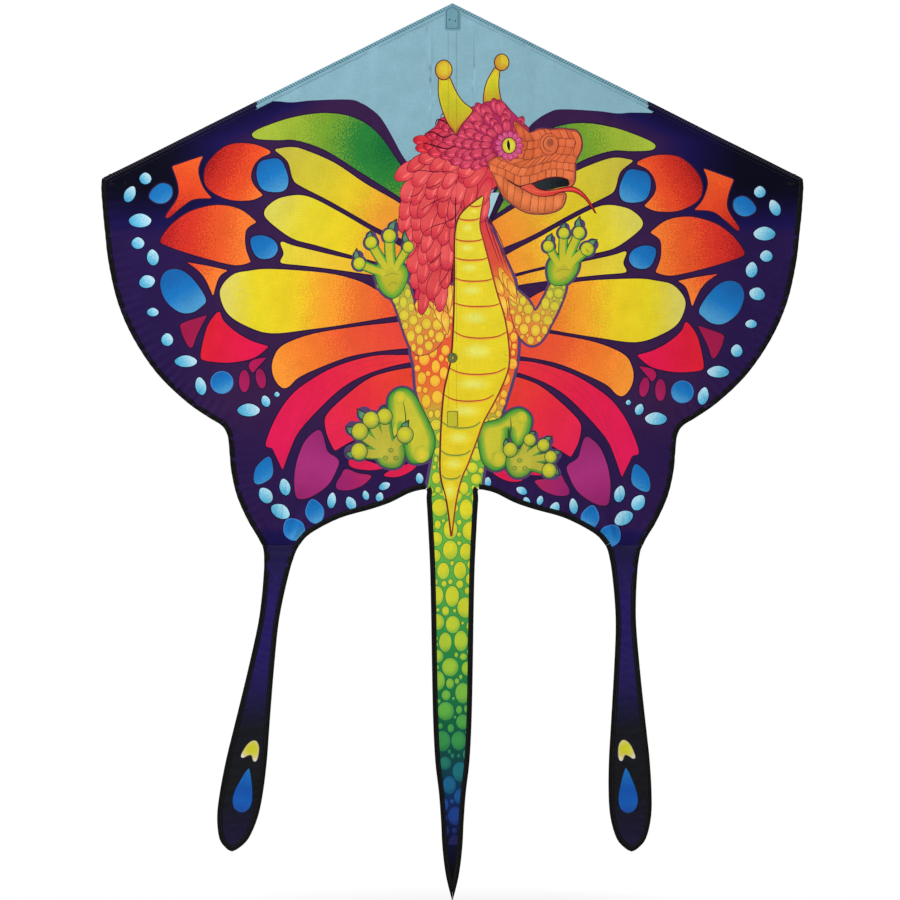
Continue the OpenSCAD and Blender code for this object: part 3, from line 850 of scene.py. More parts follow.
def feather(x, z, length, width, turn, light, dark, line):
    """One outlined scale with a lighter middle."""
    shape = leaf(x, z, length, width, turn)
    paint(grown(shape, 1.2), ink(line))
    paint(shape, ink(dark, light, dark, along=((x, z), ahead(x, z, length, turn))))


def shaded(outline, rim, light, depth, steps=6):
    """A shape that lightens in small steps from its rim inwards."""
    for i in range(steps):
        t = i / (steps - 1)
        colour = mixed(rim, light, t)
        inner = outline if i == 0 else softened(grown(outline, -depth * t), 2 + 0.4 * depth * t)
        paint(inner, ink(colour, tuple(0.94 * np.array(colour)), along=((0, 0), (9, 14)), grain=0.4))


def limb_digits(centre, digits, skin, rim, line, palm):
    """Tapered fingers from the palm to round pads, each with a curved claw."""
    fingers = []
    for x, z, r, cx, cz in digits:
        away = np.array([cx - x, cz - z], float)
        away /= np.linalg.norm(away)
        side = np.array([-away[1], away[0]])
        base = np.array([x, z]) + away * r * 0.45
        tip = np.array([cx, cz])
        bow = side * 0.22 * r
        claw = smooth([base + side * r * 0.62, base + side * r * 0.62,
                       (base + tip) / 2 + side * r * 0.42 + bow, tip, tip,
                       (base + tip) / 2 - side * r * 0.3 + bow, base - side * r * 0.62,
                       base - side * r * 0.62], 3, closed=True)
        paint(grown(claw, 1.6), ink((20, 30, 34)))
        paint(claw, ink((44, 84, 66), (100, 150, 112), (34, 58, 52), along=(base, tip)))
        start = np.array([x, z]) + (np.array(centre) - (x, z)) * 0.8
        bent = [start, (start + (x, z)) / 2 + bow * 0.5, (x, z)]
        fingers.append((bent, r, side))
        paint(ribbon(bent, r * 1.5 + 3.2, 0.95), ink(line))
    paint(grown(palm, 1.6), ink(line))
    for bent, r, side in fingers:
        paint(ribbon(bent, r * 1.5, 0.95), ink(rim))
    shaded(palm, rim, skin, 12)
    for bent, r, side in fingers:
        paint(ribbon([q + 0.1 * r * side for q in np.array(bent)], r * 1.05, 0.95),
              ink(skin, tuple(0.94 * np.array(skin)), along=(bent[0], bent[2]), grain=0.4))
    for x, z, r, cx, cz in digits:
        pad = oval(x, z, r, r * 1.06)
        paint(grown(pad, 1.4), ink(line))
        paint(pad, ink((214, 206, 44), (202, 202, 48), skin, rim,
                       around=(x - r * 0.1, z + r * 0.15, r * 1.2)), [(x, z)])


def dragon_print():
    """The whole dragon, back to front."""
    body = np.concatenate([smooth(BODY_LEFT), smooth(BODY_RIGHT)[::-1]])
    regions = {name: smooth(points, 4, closed=True) for name, points in (
        ("arm_l", ARM_LEFT), ("arm_r", ARM_RIGHT), ("palm_l", PALM_LEFT), ("palm_r", PALM_RIGHT),
        ("leg_l", LEG_LEFT), ("leg_r", LEG_RIGHT), ("foot_l", FOOT_LEFT), ("foot_r", FOOT_RIGHT),
        ("nape", NAPE), ("snout", SNOUT), ("crest", CREST), ("mane", MANE))}
    # soft shadow round the figure
    shadow = ink(HALO)
    paint(grown(body, 6), shadow)
    for name in ("arm_l", "arm_r", "palm_l", "palm_r", "leg_l", "leg_r", "foot_l", "foot_r"):
        paint(grown(regions[name], 5), shadow)
    paint(grown(regions["nape"], 5), shadow)
    for _, digits in HANDS.values():
        for x, z, r, cx, cz in digits:
            paint(oval(x, z, r + 5, r + 5), shadow)
            paint(oval((x + cx) / 2, (z + cz) / 2, r, r), shadow)
    paint(grown(regions["snout"], 2.4), ink((96, 62, 84)))

    # tail and flanks: graded ground with round scales
    tail = np.concatenate([[(-47, -246)], -BELLY[2:] * (1, -1), -CENTRE_TAIL * (1, -1)])
    tail = np.concatenate([tail, CENTRE_TAIL[::-1], BELLY[2:][::-1], [(47, -246)]])
    paint(tail, vertical(BODY_GROUND, -240, -1034, 24))
    scales(scatter(tail, (16, 13, 10.5, 8.5, 7, 5.5, 4.2, 3.4), 1.3, 11, 800))
    paint([(-14, -1040), (-14, -930), (14, -930), (14, -1040)], ink((14, 14, 44), (4, 4, 10),
          along=((0, -930), (0, -990))))
    paint(body, vertical(BODY_GROUND, 140, -262))
    scales(scatter(body, (10.5, 9, 7.5, 6, 4.8, 3.8), 1.2, 12, 1100))

    # legs and feet
    light, edge = (200, 194, 54), (52, 84, 46)
    for name in ("leg_l", "leg_r"):
        paint(grown(regions[name], 2), ink(edge))
        shaded(regions[name], (70, 150, 58), light, 13)
    for knee in ((-103, -82, 12), (-62, -188, 15), (128, -118, 11), (84, -196, 14)):
        shaded(oval(*knee[:2], knee[2], knee[2] * 1.1), (184, 188, 54), (214, 200, 54), 7, 4)
    paint(ribbon([(-97, -88), (-92, -120), (-95, -150), (-88, -172)], 2.2), ink(edge))
    paint(ribbon([(107, -118), (108, -138), (104, -160), (103, -180)], 2.2), ink(edge))
    for name in ("foot_l", "foot_r"):
        limb_digits(*HANDS[name], (190, 182, 62), (96, 150, 58), edge, regions[name])
    for x, z in ((-120, -188), (125, -206)):
        for dx, dz in ((0, 7), (-10, -8), (10, -8)):
            shaded(oval(x + dx, z + dz, 5.5, 5), (130, 150, 58), (206, 190, 62), 4, 3)

    # arms, with scales from orange at the elbow to green at the wrist
    for name, elbow, wrist, seed in (("arm_l", (-60, 20), (-125, 125), 13),
                                     ("arm_r", (145, 40), (200, 135), 14)):
        region = regions[name]
        paint(grown(region, 1.6), ink((120, 62, 60)))
        paint(region, ink((226, 120, 60), (226, 150, 60), (190, 176, 66), (150, 170, 66),
                          along=(elbow, wrist)))
        for x, z, rx, rz in scatter(region, (9, 7.5, 6.2, 5, 4, 3.2), 1.0, seed, 800):
            shape = oval(x, z, rx, rz)
            t = float(np.clip(np.dot(np.array((x, z)) - elbow, np.array(wrist) - elbow)
                              / np.sum((np.array(wrist) - elbow) ** 2), 0, 1))
            fill = mixed((250, 206, 66), (212, 214, 60), t)
            line = mixed((188, 84, 54), (120, 130, 60), t)
            paint(grown(shape, 1), ink(line))
            paint(shape, ink(fill, tuple(0.88 * np.array(fill)), around=(x, z, rz * 1.2)))

    # flank feathers where the arms join
    for x, z, length, turn in ((-70, 128, 46, -60), (-58, 134, 50, -70), (-44, 138, 52, -78),
                               (-28, 142, 58, -84), (-14, 140, 60, -86), (-34, 92, 40, -70),
                               (-20, 84, 46, -82), (88, 146, 44, -62), (98, 132, 40, -60),
                               (84, 118, 46, -70)):
        feather(x, z, length, 15, turn, (248, 206, 80), (238, 150, 60), (150, 70, 50))

    # nape strip on the right, mane on the left
    wedge = [(52, 308), (86, 310), (64, 258), (54, 284)]
    paint(grown(np.array(wedge, float), 1.5), ink(LINE))
    paint(wedge, ink((168, 206, 216), (150, 192, 206), along=((55, 300), (64, 262))))
    paint([(84, 312), (92, 296), (66, 244), (60, 252)], ink(LINE))
    paint(regions["nape"], ink((214, 60, 76), (214, 66, 66), (222, 84, 60), (232, 150, 56),
                               along=((55, 300), (112, 118))))
    for shift in (0, 9, 18, 27):
        paint(ribbon([(52 + 0.5 * shift, 286 - shift), (58 + shift, 250 - shift),
                      (70 + shift, 214 - shift), (84 + shift, 176 - shift)], 1.7, 0.2),
              ink((112, 26, 52)))
    for x, z in ((84, 168), (92, 158), (101, 146), (76, 150)):
        lay_petal(x, z, 40, 14, -68, (240, 186, 60), (228, 128, 56), (132, 60, 48))
    paint(ribbon([(50, 318), (48, 292), (56, 264), (70, 238), (90, 196), (112, 146), (118, 116)],
                 2.4, 0.6), ink((96, 60, 90)))
    mane_print(regions["mane"])
    for name in ("palm_l", "palm_r"):
        limb_digits(*HANDS[name], (202, 194, 52), (96, 172, 60), (58, 84, 52), regions[name])
        x, z = HANDS[name][0]
        paint(ribbon([(x - 16, z - 2), (x, z + 5), (x + 14, z + 2)], 1.6), ink((140, 150, 60)))
        paint(ribbon([(x - 8, z - 20), (x + 2, z - 12), (x + 12, z - 16)], 1.6), ink((140, 150, 60)))
    belly_print()
    head_print(regions)


def belly_print():
    """Banded belly scales down the body."""
    left, right = smooth(BELLY_LEFT), smooth(BELLY_RIGHT)
    belly = np.concatenate([left, right[::-1]])
    paint(grown(belly, 2.2), ink((150, 62, 44)))
    paint(belly, vertical([(303, (222, 206, 60)), (100, (230, 210, 42)), (-100, (228, 204, 36)),
                           (-240, (222, 198, 40)), (-344, (214, 196, 44))], 303, -344, 8))

    def span(z):
        xl = np.interp(-z, -left[:, 1], left[:, 0])
        xr = np.interp(-z, -right[:, 1], right[:, 0])
        return xl, xr
    lines = PLATES + [-300]
    for i, z in enumerate(PLATES):
        xl, xr = span(z)
        width = xr - xl
        drop = min(13, 3 + 0.12 * width) if i >= 6 else 2 + 0.05 * width
        brown = (178, 74, 40) if z > -120 else (112, 134, 54)
        xm = xl + 0.48 * width
        tall = (z - lines[i + 1]) * 0.3
        if tall > 7:
            middle = (xm - 0.04 * width, z - tall * 1.2)
            for size, glow in ((1, 8), (0.8, 22), (0.6, 40), (0.38, 62)):
                shine = oval(*middle, 0.36 * width * size, tall * 0.95 * size)
                paint(shine, ink((231, min(226, 206 + glow // 3), 36 + glow)))
        line = [(xl + 1, z + drop), (xl + 0.2 * width, z + 0.25 * drop), (xm, z),
                (xl + 0.8 * width, z + 0.25 * drop), (xr - 1, z + drop)]
        paint(ribbon([(x, y - 2.2) for x, y in line], 2.6, 0.3),
              ink((236, 168, 60) if z > -120 else (190, 190, 60)))
        paint(ribbon(line, 2.4, 0.6), ink(brown))
    paint(ribbon(left, 3.0, 0.7, 1), ink((104, 30, 40)))
    paint(ribbon(right, 2.2, 0.6, 1), ink((150, 56, 44)))


def petal(x, z, length, width, turn):
    """Blunt scale outline: base at x, z, round tip at the heading turn."""
    u = np.array([0, 0.12, 0.3, 0.5, 0.7, 0.85, 0.95, 1.0])
    half = width / 2 * np.array([0.35, 0.62, 0.86, 1.0, 0.94, 0.7, 0.4, 0.0])
    along, across = np.append(u, u[-2::-1]), np.append(half, -half[-2::-1])
    return turned(along * length, across, x, z, turn)


def lay_petal(x, z, length, width, turn, light, dark, line, edge=1.0):
    """A scale with a dark edge, a shaded base and a lighter streak down one side."""
    shape = petal(x, z, length, width, turn)
    paint(grown(shape, edge), ink(line))
    paint(shape, ink(dark, light, light, dark, along=((x, z), ahead(x, z, length, turn)), grain=0.3))
    streak = turned(length * np.array([0.45, 0.8]), width * np.array([0.2, 0.18]), x, z, turn)
    paint(ribbon(streak, width * 0.14, 0.2), ink(tuple(min(250, 1.12 * q + 14) for q in light)))


# Rows of the mane: height, left x, right x, count
MANE_ROWS = [
    (150, -64, -12, 3), (176, -72, -6, 4), (204, -80, -4, 4), (232, -86, 0, 4), (260, -90, 10, 5),
    (288, -94, 36, 6), (314, -94, 66, 7), (340, -90, 76, 7), (364, -80, 74, 6), (384, -60, 50, 5),
]
# Long dark strokes over the mane
MANE_STROKES = [
    [(-68, 273), (-44, 290), (-12, 304)],
    [(-65, 229), (-44, 244), (-17, 253), (0, 264)],
    [(-84, 348), (-65, 351), (-41, 348), (-17, 349), (9, 344)],
    [(-93, 303), (-80, 302), (-68, 309), (-60, 322)], [(-58, 317), (-44, 320), (-22, 332)],
    [(-52, 168), (-40, 182), (-24, 196)], [(-34, 130), (-20, 146), (-8, 168)],
]


def mane_print(region):
    """Rows of pointed scales over the chest."""
    light, dark, line = (226, 82, 84), (206, 46, 66), (104, 18, 44)
    paint(grown(region, 1.8), ink(line))
    paint(region, ink((212, 44, 76), (218, 62, 70), along=((-60, 130), (20, 380))))
    rng = random.Random(15)
    for z, x0, x1, count in MANE_ROWS:
        for i in range(count):
            x = x0 + (x1 - x0) * (i + 0.5) / count + rng.uniform(-4, 4)
            at = z + rng.uniform(-6, 6)
            if not inside(np.array([[x, at]]), region)[0]:
                continue
            turn = float(np.interp(at, [140, 260, 330, 390], [-104, -103, -112, -150]))
            turn += float(np.interp(x, [-90, 60], [-4, 10])) + rng.uniform(-8, 8)
            shift = rng.uniform(-10, 10)
            tone = tuple(np.clip(np.array(light) + shift, 0, 255))
            lay_petal(x, at, 60 * rng.uniform(0.8, 1.15), 27 * rng.uniform(0.75, 1.15), turn, tone,
                      dark, line, rng.uniform(0.7, 1.3))
    for stroke in MANE_STROKES:
        paint(ribbon(stroke, 1.6, 0.1), ink((78, 14, 38)))
    paint(ribbon([(-8, 139), (-2, 190), (-1, 226), (0, 262), (0, 300)], 2.6, 0.5), ink((52, 12, 34)))


def horn(points, ball):
    """One horn with its round end."""
    line = (72, 26, 36)
    shape = smooth(points, 4, closed=True)
    z0, z1 = shape[:, 1].min(), shape[:, 1].max()
    paint(grown(shape, 1.9), ink(line))
    paint(shape, ink((160, 84, 40), (206, 152, 44), (204, 190, 42), (212, 198, 46), (206, 176, 48),
                     along=((0, z0), (4, z1)), grain=0.4))
    inner = softened(grown(shape, -4), 3)
    paint(inner, ink((190, 150, 42), (192, 186, 40), (214, 204, 44), along=((0, z0), (4, z1)),
                     grain=0.4))
    ring = oval(*ball)
    paint(grown(ring, 1.9), ink(line))
    paint(ring, ink((224, 204, 60), (214, 186, 50), (196, 118, 46),
                    around=(ball[0] + 2, ball[1] + 2, ball[3] * 1.15)), [ball[:2]])


EYE = (101, 399)


def crest_print(crest):
    """Petals of the crest round the head."""
    line = (84, 16, 46)
    paint(grown(crest, 1.2), ink(line))
    paint(crest, ink((188, 30, 56), (190, 44, 84), (176, 44, 92), along=((-60, 400), (60, 430))))
    rng = random.Random(16)
    radius = 172
    while radius > 20:
        count = max(9, int(radius * 2.6 / 16))
        for i in range(count):
            a = math.radians(52 + 190 * (i + 0.5 * (int(radius) % 2)) / count + rng.uniform(-2, 2))
            x, z = EYE[0] + radius * math.cos(a), EYE[1] + radius * math.sin(a) * 0.7
            turn = math.degrees(math.atan2((z - EYE[1]) * 1.1, x - EYE[0])) + rng.uniform(-6, 6)
            size = 36 * rng.uniform(0.85, 1.12) * (0.55 + 0.45 * min(1, radius / 80))
            if not inside(np.array([ahead(x, z, 0.55 * size, turn), (x, z)]), crest).all():
                continue
            back = float(np.interp(x, [-60, 20], [1, 0]))
            light = (208 + 8 * back, 70 - 26 * back, 98 - 46 * back)
            dark = (158 + 22 * back, 26 - 4 * back, 64 - 26 * back)
            lay_petal(x, z, size, size * 0.52, turn, light, dark, line, 0.8)
        radius -= 14
    for tuft in ([(-30, 452), (-22, 462), (-12, 452), (-18, 444)],
                 [(-40, 436), (-34, 448), (-16, 440), (-8, 430)],
                 [(-64, 404), (-40, 398), (-16, 392), (0, 400)],
                 [(-60, 420), (-44, 424), (-24, 414), (-6, 420)]):
        paint(ribbon(tuft, 2.6, 0.2), ink((58, 10, 30)))


def head_print(regions):
    """Horns, crest, snout, eye, mouth and tongue."""
    crest, snout = regions["crest"], regions["snout"]
    horn(HORN_RIGHT, (86, 557, 13, 15))
    crest_print(crest)
    horn(HORN_LEFT, (-24, 542, 15, 18))
    snout_print(snout)
    # rosette and eye
    for i in range(13):
        a = 2 * math.pi * i / 13
        lay_petal(EYE[0] + 11 * math.cos(a), EYE[1] + 12 * math.sin(a), 17, 9.5,
                  math.degrees(a), (206, 84, 132), (176, 44, 100), (104, 24, 68), 0.7)
    paint(oval(*EYE, 13.8, 15.8), ink((60, 28, 40)))
    paint(oval(*EYE, 12.4, 14.4), ink((232, 228, 110), (222, 212, 60), (190, 184, 50),
                                      around=(*EYE, 15)), [EYE])
    pupil = smooth([(EYE[0] - 2, EYE[1] + 11), (EYE[0] + 2, EYE[1] + 2), (EYE[0] + 1, EYE[1] - 10),
                    (EYE[0] - 4, EYE[1])], 4, closed=True)
    paint(pupil, ink((20, 16, 20)))
    # mouth and tongue
    paint(ribbon([(97, 334), (124, 321), (150, 328), (175, 337), (196, 339), (214, 335)], 3.6, 0.4),
          ink((70, 30, 40)))
    mouth = smooth(MOUTH, 4, closed=True)
    paint(grown(mouth, 1.2), ink((60, 24, 34)))
    paint(mouth, ink((40, 50, 54), (18, 20, 26), along=((150, 325), (212, 330)), grain=0.5))
    tongue = smooth(TONGUE, 4, closed=True)
    paint(grown(tongue, 1.5), ink((62, 14, 34)))
    paint(tongue, ink((222, 88, 66), (216, 52, 48), (206, 40, 40), along=((130, 320), (265, 280))))
    paint(ribbon([(134, 320), (160, 311), (196, 314), (224, 317), (244, 306)], 1.4),
          ink((236, 110, 88)))


NOSE_PAD = [(219, 426), (231, 424), (238, 408), (236, 389), (228, 378), (224, 389), (228, 405),
            (223, 418)]


def snout_print(region):
    """Brick-like scales in rows round the snout and one tall row along the lower jaw."""
    line = (132, 52, 42)
    paint(grown(region, 1.4), ink((104, 44, 46)))
    paint(region, ink((202, 90, 56), (214, 108, 62), along=((160, 430), (140, 280))))
    rng = random.Random(17)
    upper = [
        [(66, 350), (97, 334), (124, 322), (150, 330), (178, 338), (206, 338), (224, 332)],
        [(64, 364), (96, 352), (124, 340), (152, 346), (180, 355), (208, 354), (226, 350)],
        [(76, 376), (102, 366), (128, 356), (154, 362), (182, 370), (206, 368), (226, 366)],
        [(112, 378), (122, 376), (132, 372), (156, 378), (184, 386), (206, 383), (232, 382)],
        [(118, 392), (130, 390), (142, 392), (162, 396), (184, 400), (208, 398), (237, 397)],
        [(120, 408), (132, 406), (146, 408), (164, 412), (186, 414), (210, 413), (238, 412)],
        [(112, 441), (126, 434), (141, 423), (162, 430), (186, 430), (210, 430), (230, 426)]]
    lower = [
        [(82, 322), (92, 305), (110, 288), (134, 275), (158, 271), (180, 273), (200, 283)],
        [(72, 346), (98, 336), (122, 320), (146, 308), (170, 303), (190, 306), (206, 309)]]
    for rows, brick in ((upper, 15), (lower, 17)):
        rows = [resampled(smooth(c, 6), 1) for c in rows]
        for a, b in zip(rows, rows[1:]):
            cuts = [0.0]
            while cuts[-1] < 1:
                cuts.append(min(1, cuts[-1] + brick * rng.uniform(0.65, 1.3) / len(a)))
            if len(cuts) > 2 and cuts[-1] - cuts[-2] < 0.5 * brick / len(a):
                cuts.pop(-2)
            for u0, u1 in zip(cuts, cuts[1:]):
                quad = np.array([curve[int(round(u * (len(curve) - 1)))] for curve, u in
                                 ((a, u0), (a, u1), (b, u1), (b, u0))])
                quad = quad + [[rng.uniform(-1, 1), rng.uniform(-1, 1)] for _ in range(4)]
                middle = quad.mean(0)
                corners = [middle + (q - middle) * 0.91 for q in quad]
                mids = [middle + ((quad[k] + quad[(k + 1) % 4]) / 2 - middle) * 0.93
                        for k in range(4)]
                shape = smooth([q for k in range(4) for q in (corners[k], mids[k])], 2, closed=True)
                if abs(area_of(shape)) < 12:
                    continue
                high = np.interp(middle[1], [280, 430], [0, 1])
                fill = np.array(mixed((228, 124, 72), (216, 100, 60), high)) + rng.uniform(-8, 8)
                paint(grown(shape, 0.9), ink(line))
                paint(shape, ink(tuple(fill * 1.04), tuple(fill), tuple(fill * 0.88),
                                 around=(middle[0] - 2, middle[1] + 2, 15), grain=0.4),
                      [tuple(middle)])
    # raised ring round the nostril, and the pad at the tip of the nose
    paint(oval(177, 402, 18, 21), ink(line))
    paint(oval(177, 402, 16.8, 19.8), ink((224, 118, 70), (214, 102, 62), around=(174, 406, 20)))
    paint(ribbon([(186, 416), (174, 417), (166, 405), (170, 392), (182, 388)], 1.8), ink(line))
    paint(oval(179, 405, 7, 8.5), ink((150, 74, 56), (186, 92, 62), around=(181, 406, 10)),
          [(179, 405)])
    pad = smooth(NOSE_PAD, 4, closed=True)
    paint(grown(pad, 1.1), ink(line))
    paint(pad, ink((226, 116, 66), (214, 100, 60), along=((236, 420), (226, 380))))


# The field is the ground of every panel; the shapes are painted over it in order.
paint([(-40, 700), (40, 700), (40, 250), (-40, 250)], ink(SKY_DEEP, SKY, along=((0, 250), (0, 640))))
wing_print(LEFT)
register(1, [[1.0117, 0.0004], [-0.0055, 0.9998]], (3.5, 4.7))
first_shape = len(PRINT)
wing_print(RIGHT)
register(first_shape, [[0.9932, 0.0103], [-0.0171, 0.9886]], (4.5, -4.0))
for _side in SIDES:
    tail_print(_side)
first_shape = len(PRINT)
dragon_print()
register(first_shape, [[1, 0.0061], [-0.0061, 1]], (4.2, 4.75))


# ---------------------------------------------------------------- materials
class Nodes:
    """A node tree, with short calls for the nodes that the looks are built from."""

    def __init__(self, tree):
        self.nodes, self.link = tree.nodes, tree.links.new

    def add(self, kind, inputs=None, **settings):
        node = self.nodes.new(kind)
        for key, value in settings.items():
            setattr(node, key, value)
        for key, value in (inputs or {}).items():
            node.inputs[key].default_value = value
        return node

    def mapped(self, source, scale):
        mapping = self.add("ShaderNodeMapping", {"Scale": scale})
        self.link(source, mapping.inputs["Vector"])
        return mapping.outputs["Vector"]

    def place(self, scale=(1, 1, 1)):
        """Object coordinates times scale."""
        return self.mapped(self.add("ShaderNodeTexCoord").outputs["Object"], scale)

    def flat_place(self, scale=(1, 1, 1)):
        """The place in the cloth as it was laid flat, times scale."""
        source = self.add("ShaderNodeAttribute", attribute_name="flat_place")
        return self.mapped(source.outputs["Vector"], scale)

    def noise(self, vector, scale, detail=3, rough=0.5):
        node = self.add("ShaderNodeTexNoise",
                        {"Scale": scale, "Detail": detail, "Roughness": rough})
        self.link(vector, node.inputs["Vector"])
        return node.outputs["Fac"]

    def math(self, operation, *values, clamp=False):
        node = self.add("ShaderNodeMath", operation=operation, use_clamp=clamp)
        for i, value in enumerate(values):
            self.feed(node.inputs[i], value)
        return node.outputs[0]

    def feed(self, socket, value):
        """Sets the socket to a number or colour, or links it."""
        if isinstance(value, (int, float, tuple)):
            socket.default_value = value
        else:
            self.link(value, socket)

    def spread(self, value, low, high, to_low=0.0, to_high=1.0):
        node = self.add("ShaderNodeMapRange", {"From Min": low, "From Max": high,
                                               "To Min": to_low, "To Max": to_high})
        self.link(value, node.inputs["Value"])
        return node.outputs["Result"]

    def mix(self, fac, a, b, blend="MIX"):
        node = self.add("ShaderNodeMix", data_type="RGBA", blend_type=blend)
        for name, value in (("Factor", fac), ("A", a), ("B", b)):
            self.feed(next(q for q in node.inputs if q.name == name and q.enabled), value)
        return next(q for q in node.outputs if q.enabled)

    def toned(self, colour, value, low, high):
        """The colour times a grey between low and high that follows value."""
        tone = self.spread(value, 0.25, 0.75, low, high)
        grey = self.add("ShaderNodeCombineColor")
        for k in range(3):
            self.link(tone, grey.inputs[k])
        return self.mix(1.0, colour, grey.outputs[0], "MULTIPLY")

    def weave(self, pitch):
        """Over-and-under threads, pitch metres apart."""
        split = self.add("ShaderNodeSeparateXYZ")
        self.link(self.flat_place(), split.inputs[0])
        k = 2 * math.pi / pitch
        warp, weft = (self.math("SINE", self.math("MULTIPLY", split.outputs[axis], k))
                      for axis in "XZ")
        return self.math("MULTIPLY", warp, weft)


class Surface(Nodes):
    """A new material round its Principled shader."""

    def __init__(self, name):
        self.material = bpy.data.materials.new(name)
        self.material.use_nodes = True
        super().__init__(self.material.node_tree)
        self.bsdf = self.nodes["Principled BSDF"]

    def set(self, name, value):
        self.feed(self.bsdf.inputs[name], value)

    def bump(self, height, strength, distance):
        node = self.add("ShaderNodeBump", {"Strength": strength, "Distance": distance})
        self.link(height, node.inputs["Height"])
        self.set("Normal", node.outputs["Normal"])


def rgb(colour):
    """The 0 to 255 sRGB colour for a shader's socket."""
    return (*map(float, linear(colour)), 1.0)


def paler(colour, factor, lift=0.01):
    """The colour lightened, for worn or rubbed places."""
    return (*(min(1.0, factor * float(c) + lift) for c in linear(colour)), 1.0)


def printed_cloth(name, back=False, satin=False):
    """Woven polyester that carries the print. The back shows it paler."""
    m = Surface(name)
    first = m.add("ShaderNodeAttribute", attribute_name="ink_a")
    second = m.add("ShaderNodeAttribute", attribute_name="ink_b")
    grit = m.spread(m.noise(m.flat_place(), 330, 1.5, 0.6), 0.36, 0.64)
    share, grain = first.outputs["Alpha"], second.outputs["Alpha"]
    speckled = m.math("MULTIPLY_ADD", m.math("SUBTRACT", share, grit), 6.0, 0.5, clamp=True)
    fac = m.math("MULTIPLY_ADD", m.math("SUBTRACT", speckled, share), grain, share, clamp=True)
    colour = m.mix(fac, first.outputs["Color"], second.outputs["Color"])
    # slubs: long faint streaks along both thread directions, then broad blotches
    for scale in ((900, 900, 46), (46, 900, 900)):
        colour = m.toned(colour, m.noise(m.flat_place(scale), 1, 2), 0.93, 1.07)
    colour = m.toned(colour, m.noise(m.flat_place(), 24, 3), 0.94, 1.06)
    if back:
        colour = m.mix(0.2, colour, rgb((150, 146, 150)))
    m.set("Base Color", colour)
    low, high = (0.34, 0.46) if satin else (0.56, 0.7)
    m.set("Roughness", m.spread(m.noise(m.flat_place(), 60, 2), 0.3, 0.7, low, high))
    m.set("Specular IOR Level", 0.16 if satin else 0.06)
    wide = m.noise(m.flat_place(), 170, 3)
    m.bump(m.math("MULTIPLY_ADD", m.weave(0.0007), 0.25, wide), 0.35, 0.0003)
    return m.material


def woven(name, colour, pitch=0.0009, light=1.5):
    """Plain-dyed woven tape or pocket cloth, ribbed, with worn lighter threads."""
    m = Surface(name)
    grit = m.noise(m.flat_place(), 300, 3)
    tone = m.math("MULTIPLY_ADD", m.weave(pitch), 0.18, grit)
    m.set("Base Color", m.mix(m.spread(tone, 0.35, 0.8), rgb(colour), paler(colour, light, 0.004)))
    m.set("Roughness", m.spread(grit, 0.3, 0.7, 0.67, 0.83))
    m.set("Specular IOR Level", 0.12)
    m.bump(tone, 0.5, 0.0003)
    return m.material


def thread(name, colour):
    """Twisted sewing thread."""
    m = Surface(name)
    twist = m.add("ShaderNodeTexWave", {"Scale": 900, "Distortion": 1.5},
                  wave_type="BANDS", bands_direction="DIAGONAL")
    m.link(m.place(), twist.inputs["Vector"])
    turns = twist.outputs["Fac"]
    m.set("Base Color", m.mix(turns, rgb(colour), paler(colour, 1.6)))
    m.set("Roughness", m.spread(turns, 0, 1, 0.45, 0.65))
    m.bump(turns, 0.4, 0.0002)
    return m.material


def glass_fibre():
    """Pultruded rod: dark, glossy, with fine streaks along it."""
    m = Surface("glass_fibre")
    streak = m.noise(m.place((140, 900, 140)), 1, 4)
    speck = m.noise(m.place(), 700, 3)
    colour = m.mix(m.spread(streak, 0.35, 0.7), rgb((34, 35, 38)), rgb((74, 76, 82)))
    m.set("Base Color", m.mix(m.spread(speck, 0.55, 0.75), colour, rgb((110, 112, 118))))
    m.set("Roughness", m.spread(streak, 0.2, 0.8, 0.22, 0.42))
    m.set("Coat Weight", 0.25)
    m.bump(streak, 0.25, 0.0002)
    return m.material


def plastic(name, colour, low, high, bump_scale, worn=1.8):
    """Moulded plastic or vinyl with a fine grain and rubbed lighter patches."""
    m = Surface(name)
    grain = m.noise(m.place(), bump_scale, 4, 0.6)
    rub = m.noise(m.place(), 90, 4, 0.6)
    m.set("Base Color", m.mix(m.spread(rub, 0.45, 0.8), rgb(colour), paler(colour, worn)))
    m.set("Roughness", m.spread(rub, 0.3, 0.7, low, high))
    m.bump(grain, 0.3, 0.0002)
    return m.material


PRINT_FRONT = printed_cloth("printed_polyester")
PRINT_BACK = printed_cloth("printed_polyester_back", back=True)
SATIN_FRONT = printed_cloth("tail_satin", satin=True)
SATIN_BACK = printed_cloth("tail_satin_back", back=True, satin=True)
TAPE = woven("edge_tape", (3, 3, 4), 0.0011, light=1.3)
BLACK_CLOTH = woven("pocket_black", (12, 12, 16))
SLEEVE_CLOTH = woven("sleeve_cloth", (92, 84, 104), light=1.25)
TEAL_CLOTH = woven("nose_patch_cloth", (104, 148, 162), light=1.2)
OLIVE_CLOTH = woven("bottom_patch_cloth", (186, 180, 44), light=1.15)
BLACK_THREAD = thread("black_thread", (7, 7, 10))
TEAL_THREAD = thread("teal_thread", (22, 78, 92))
DARK_TEAL_THREAD = thread("dark_teal_thread", (12, 42, 52))
OLIVE_THREAD = thread("olive_thread", (22, 28, 18))
PURPLE_THREAD = thread("purple_thread", (16, 11, 28))
FIBRE = glass_fibre()
VINYL = plastic("black_vinyl", (16, 16, 17), 0.42, 0.62, 500)
NYLON = plastic("moulded_nylon", (24, 24, 26), 0.45, 0.6, 900)
EYELET = plastic("eyelet_plastic", (92, 104, 40), 0.3, 0.48, 700, 1.35)
# Darker copy of the eyelet's plastic: painted shade on the eyelet's rolled rim, and the colour of its
# stitches
EYELET_SHADED_RIM_AND_STITCH = plastic("eyelet_shaded_rim_and_stitch", (40, 50, 30), 0.3, 0.48, 700, 1.5)


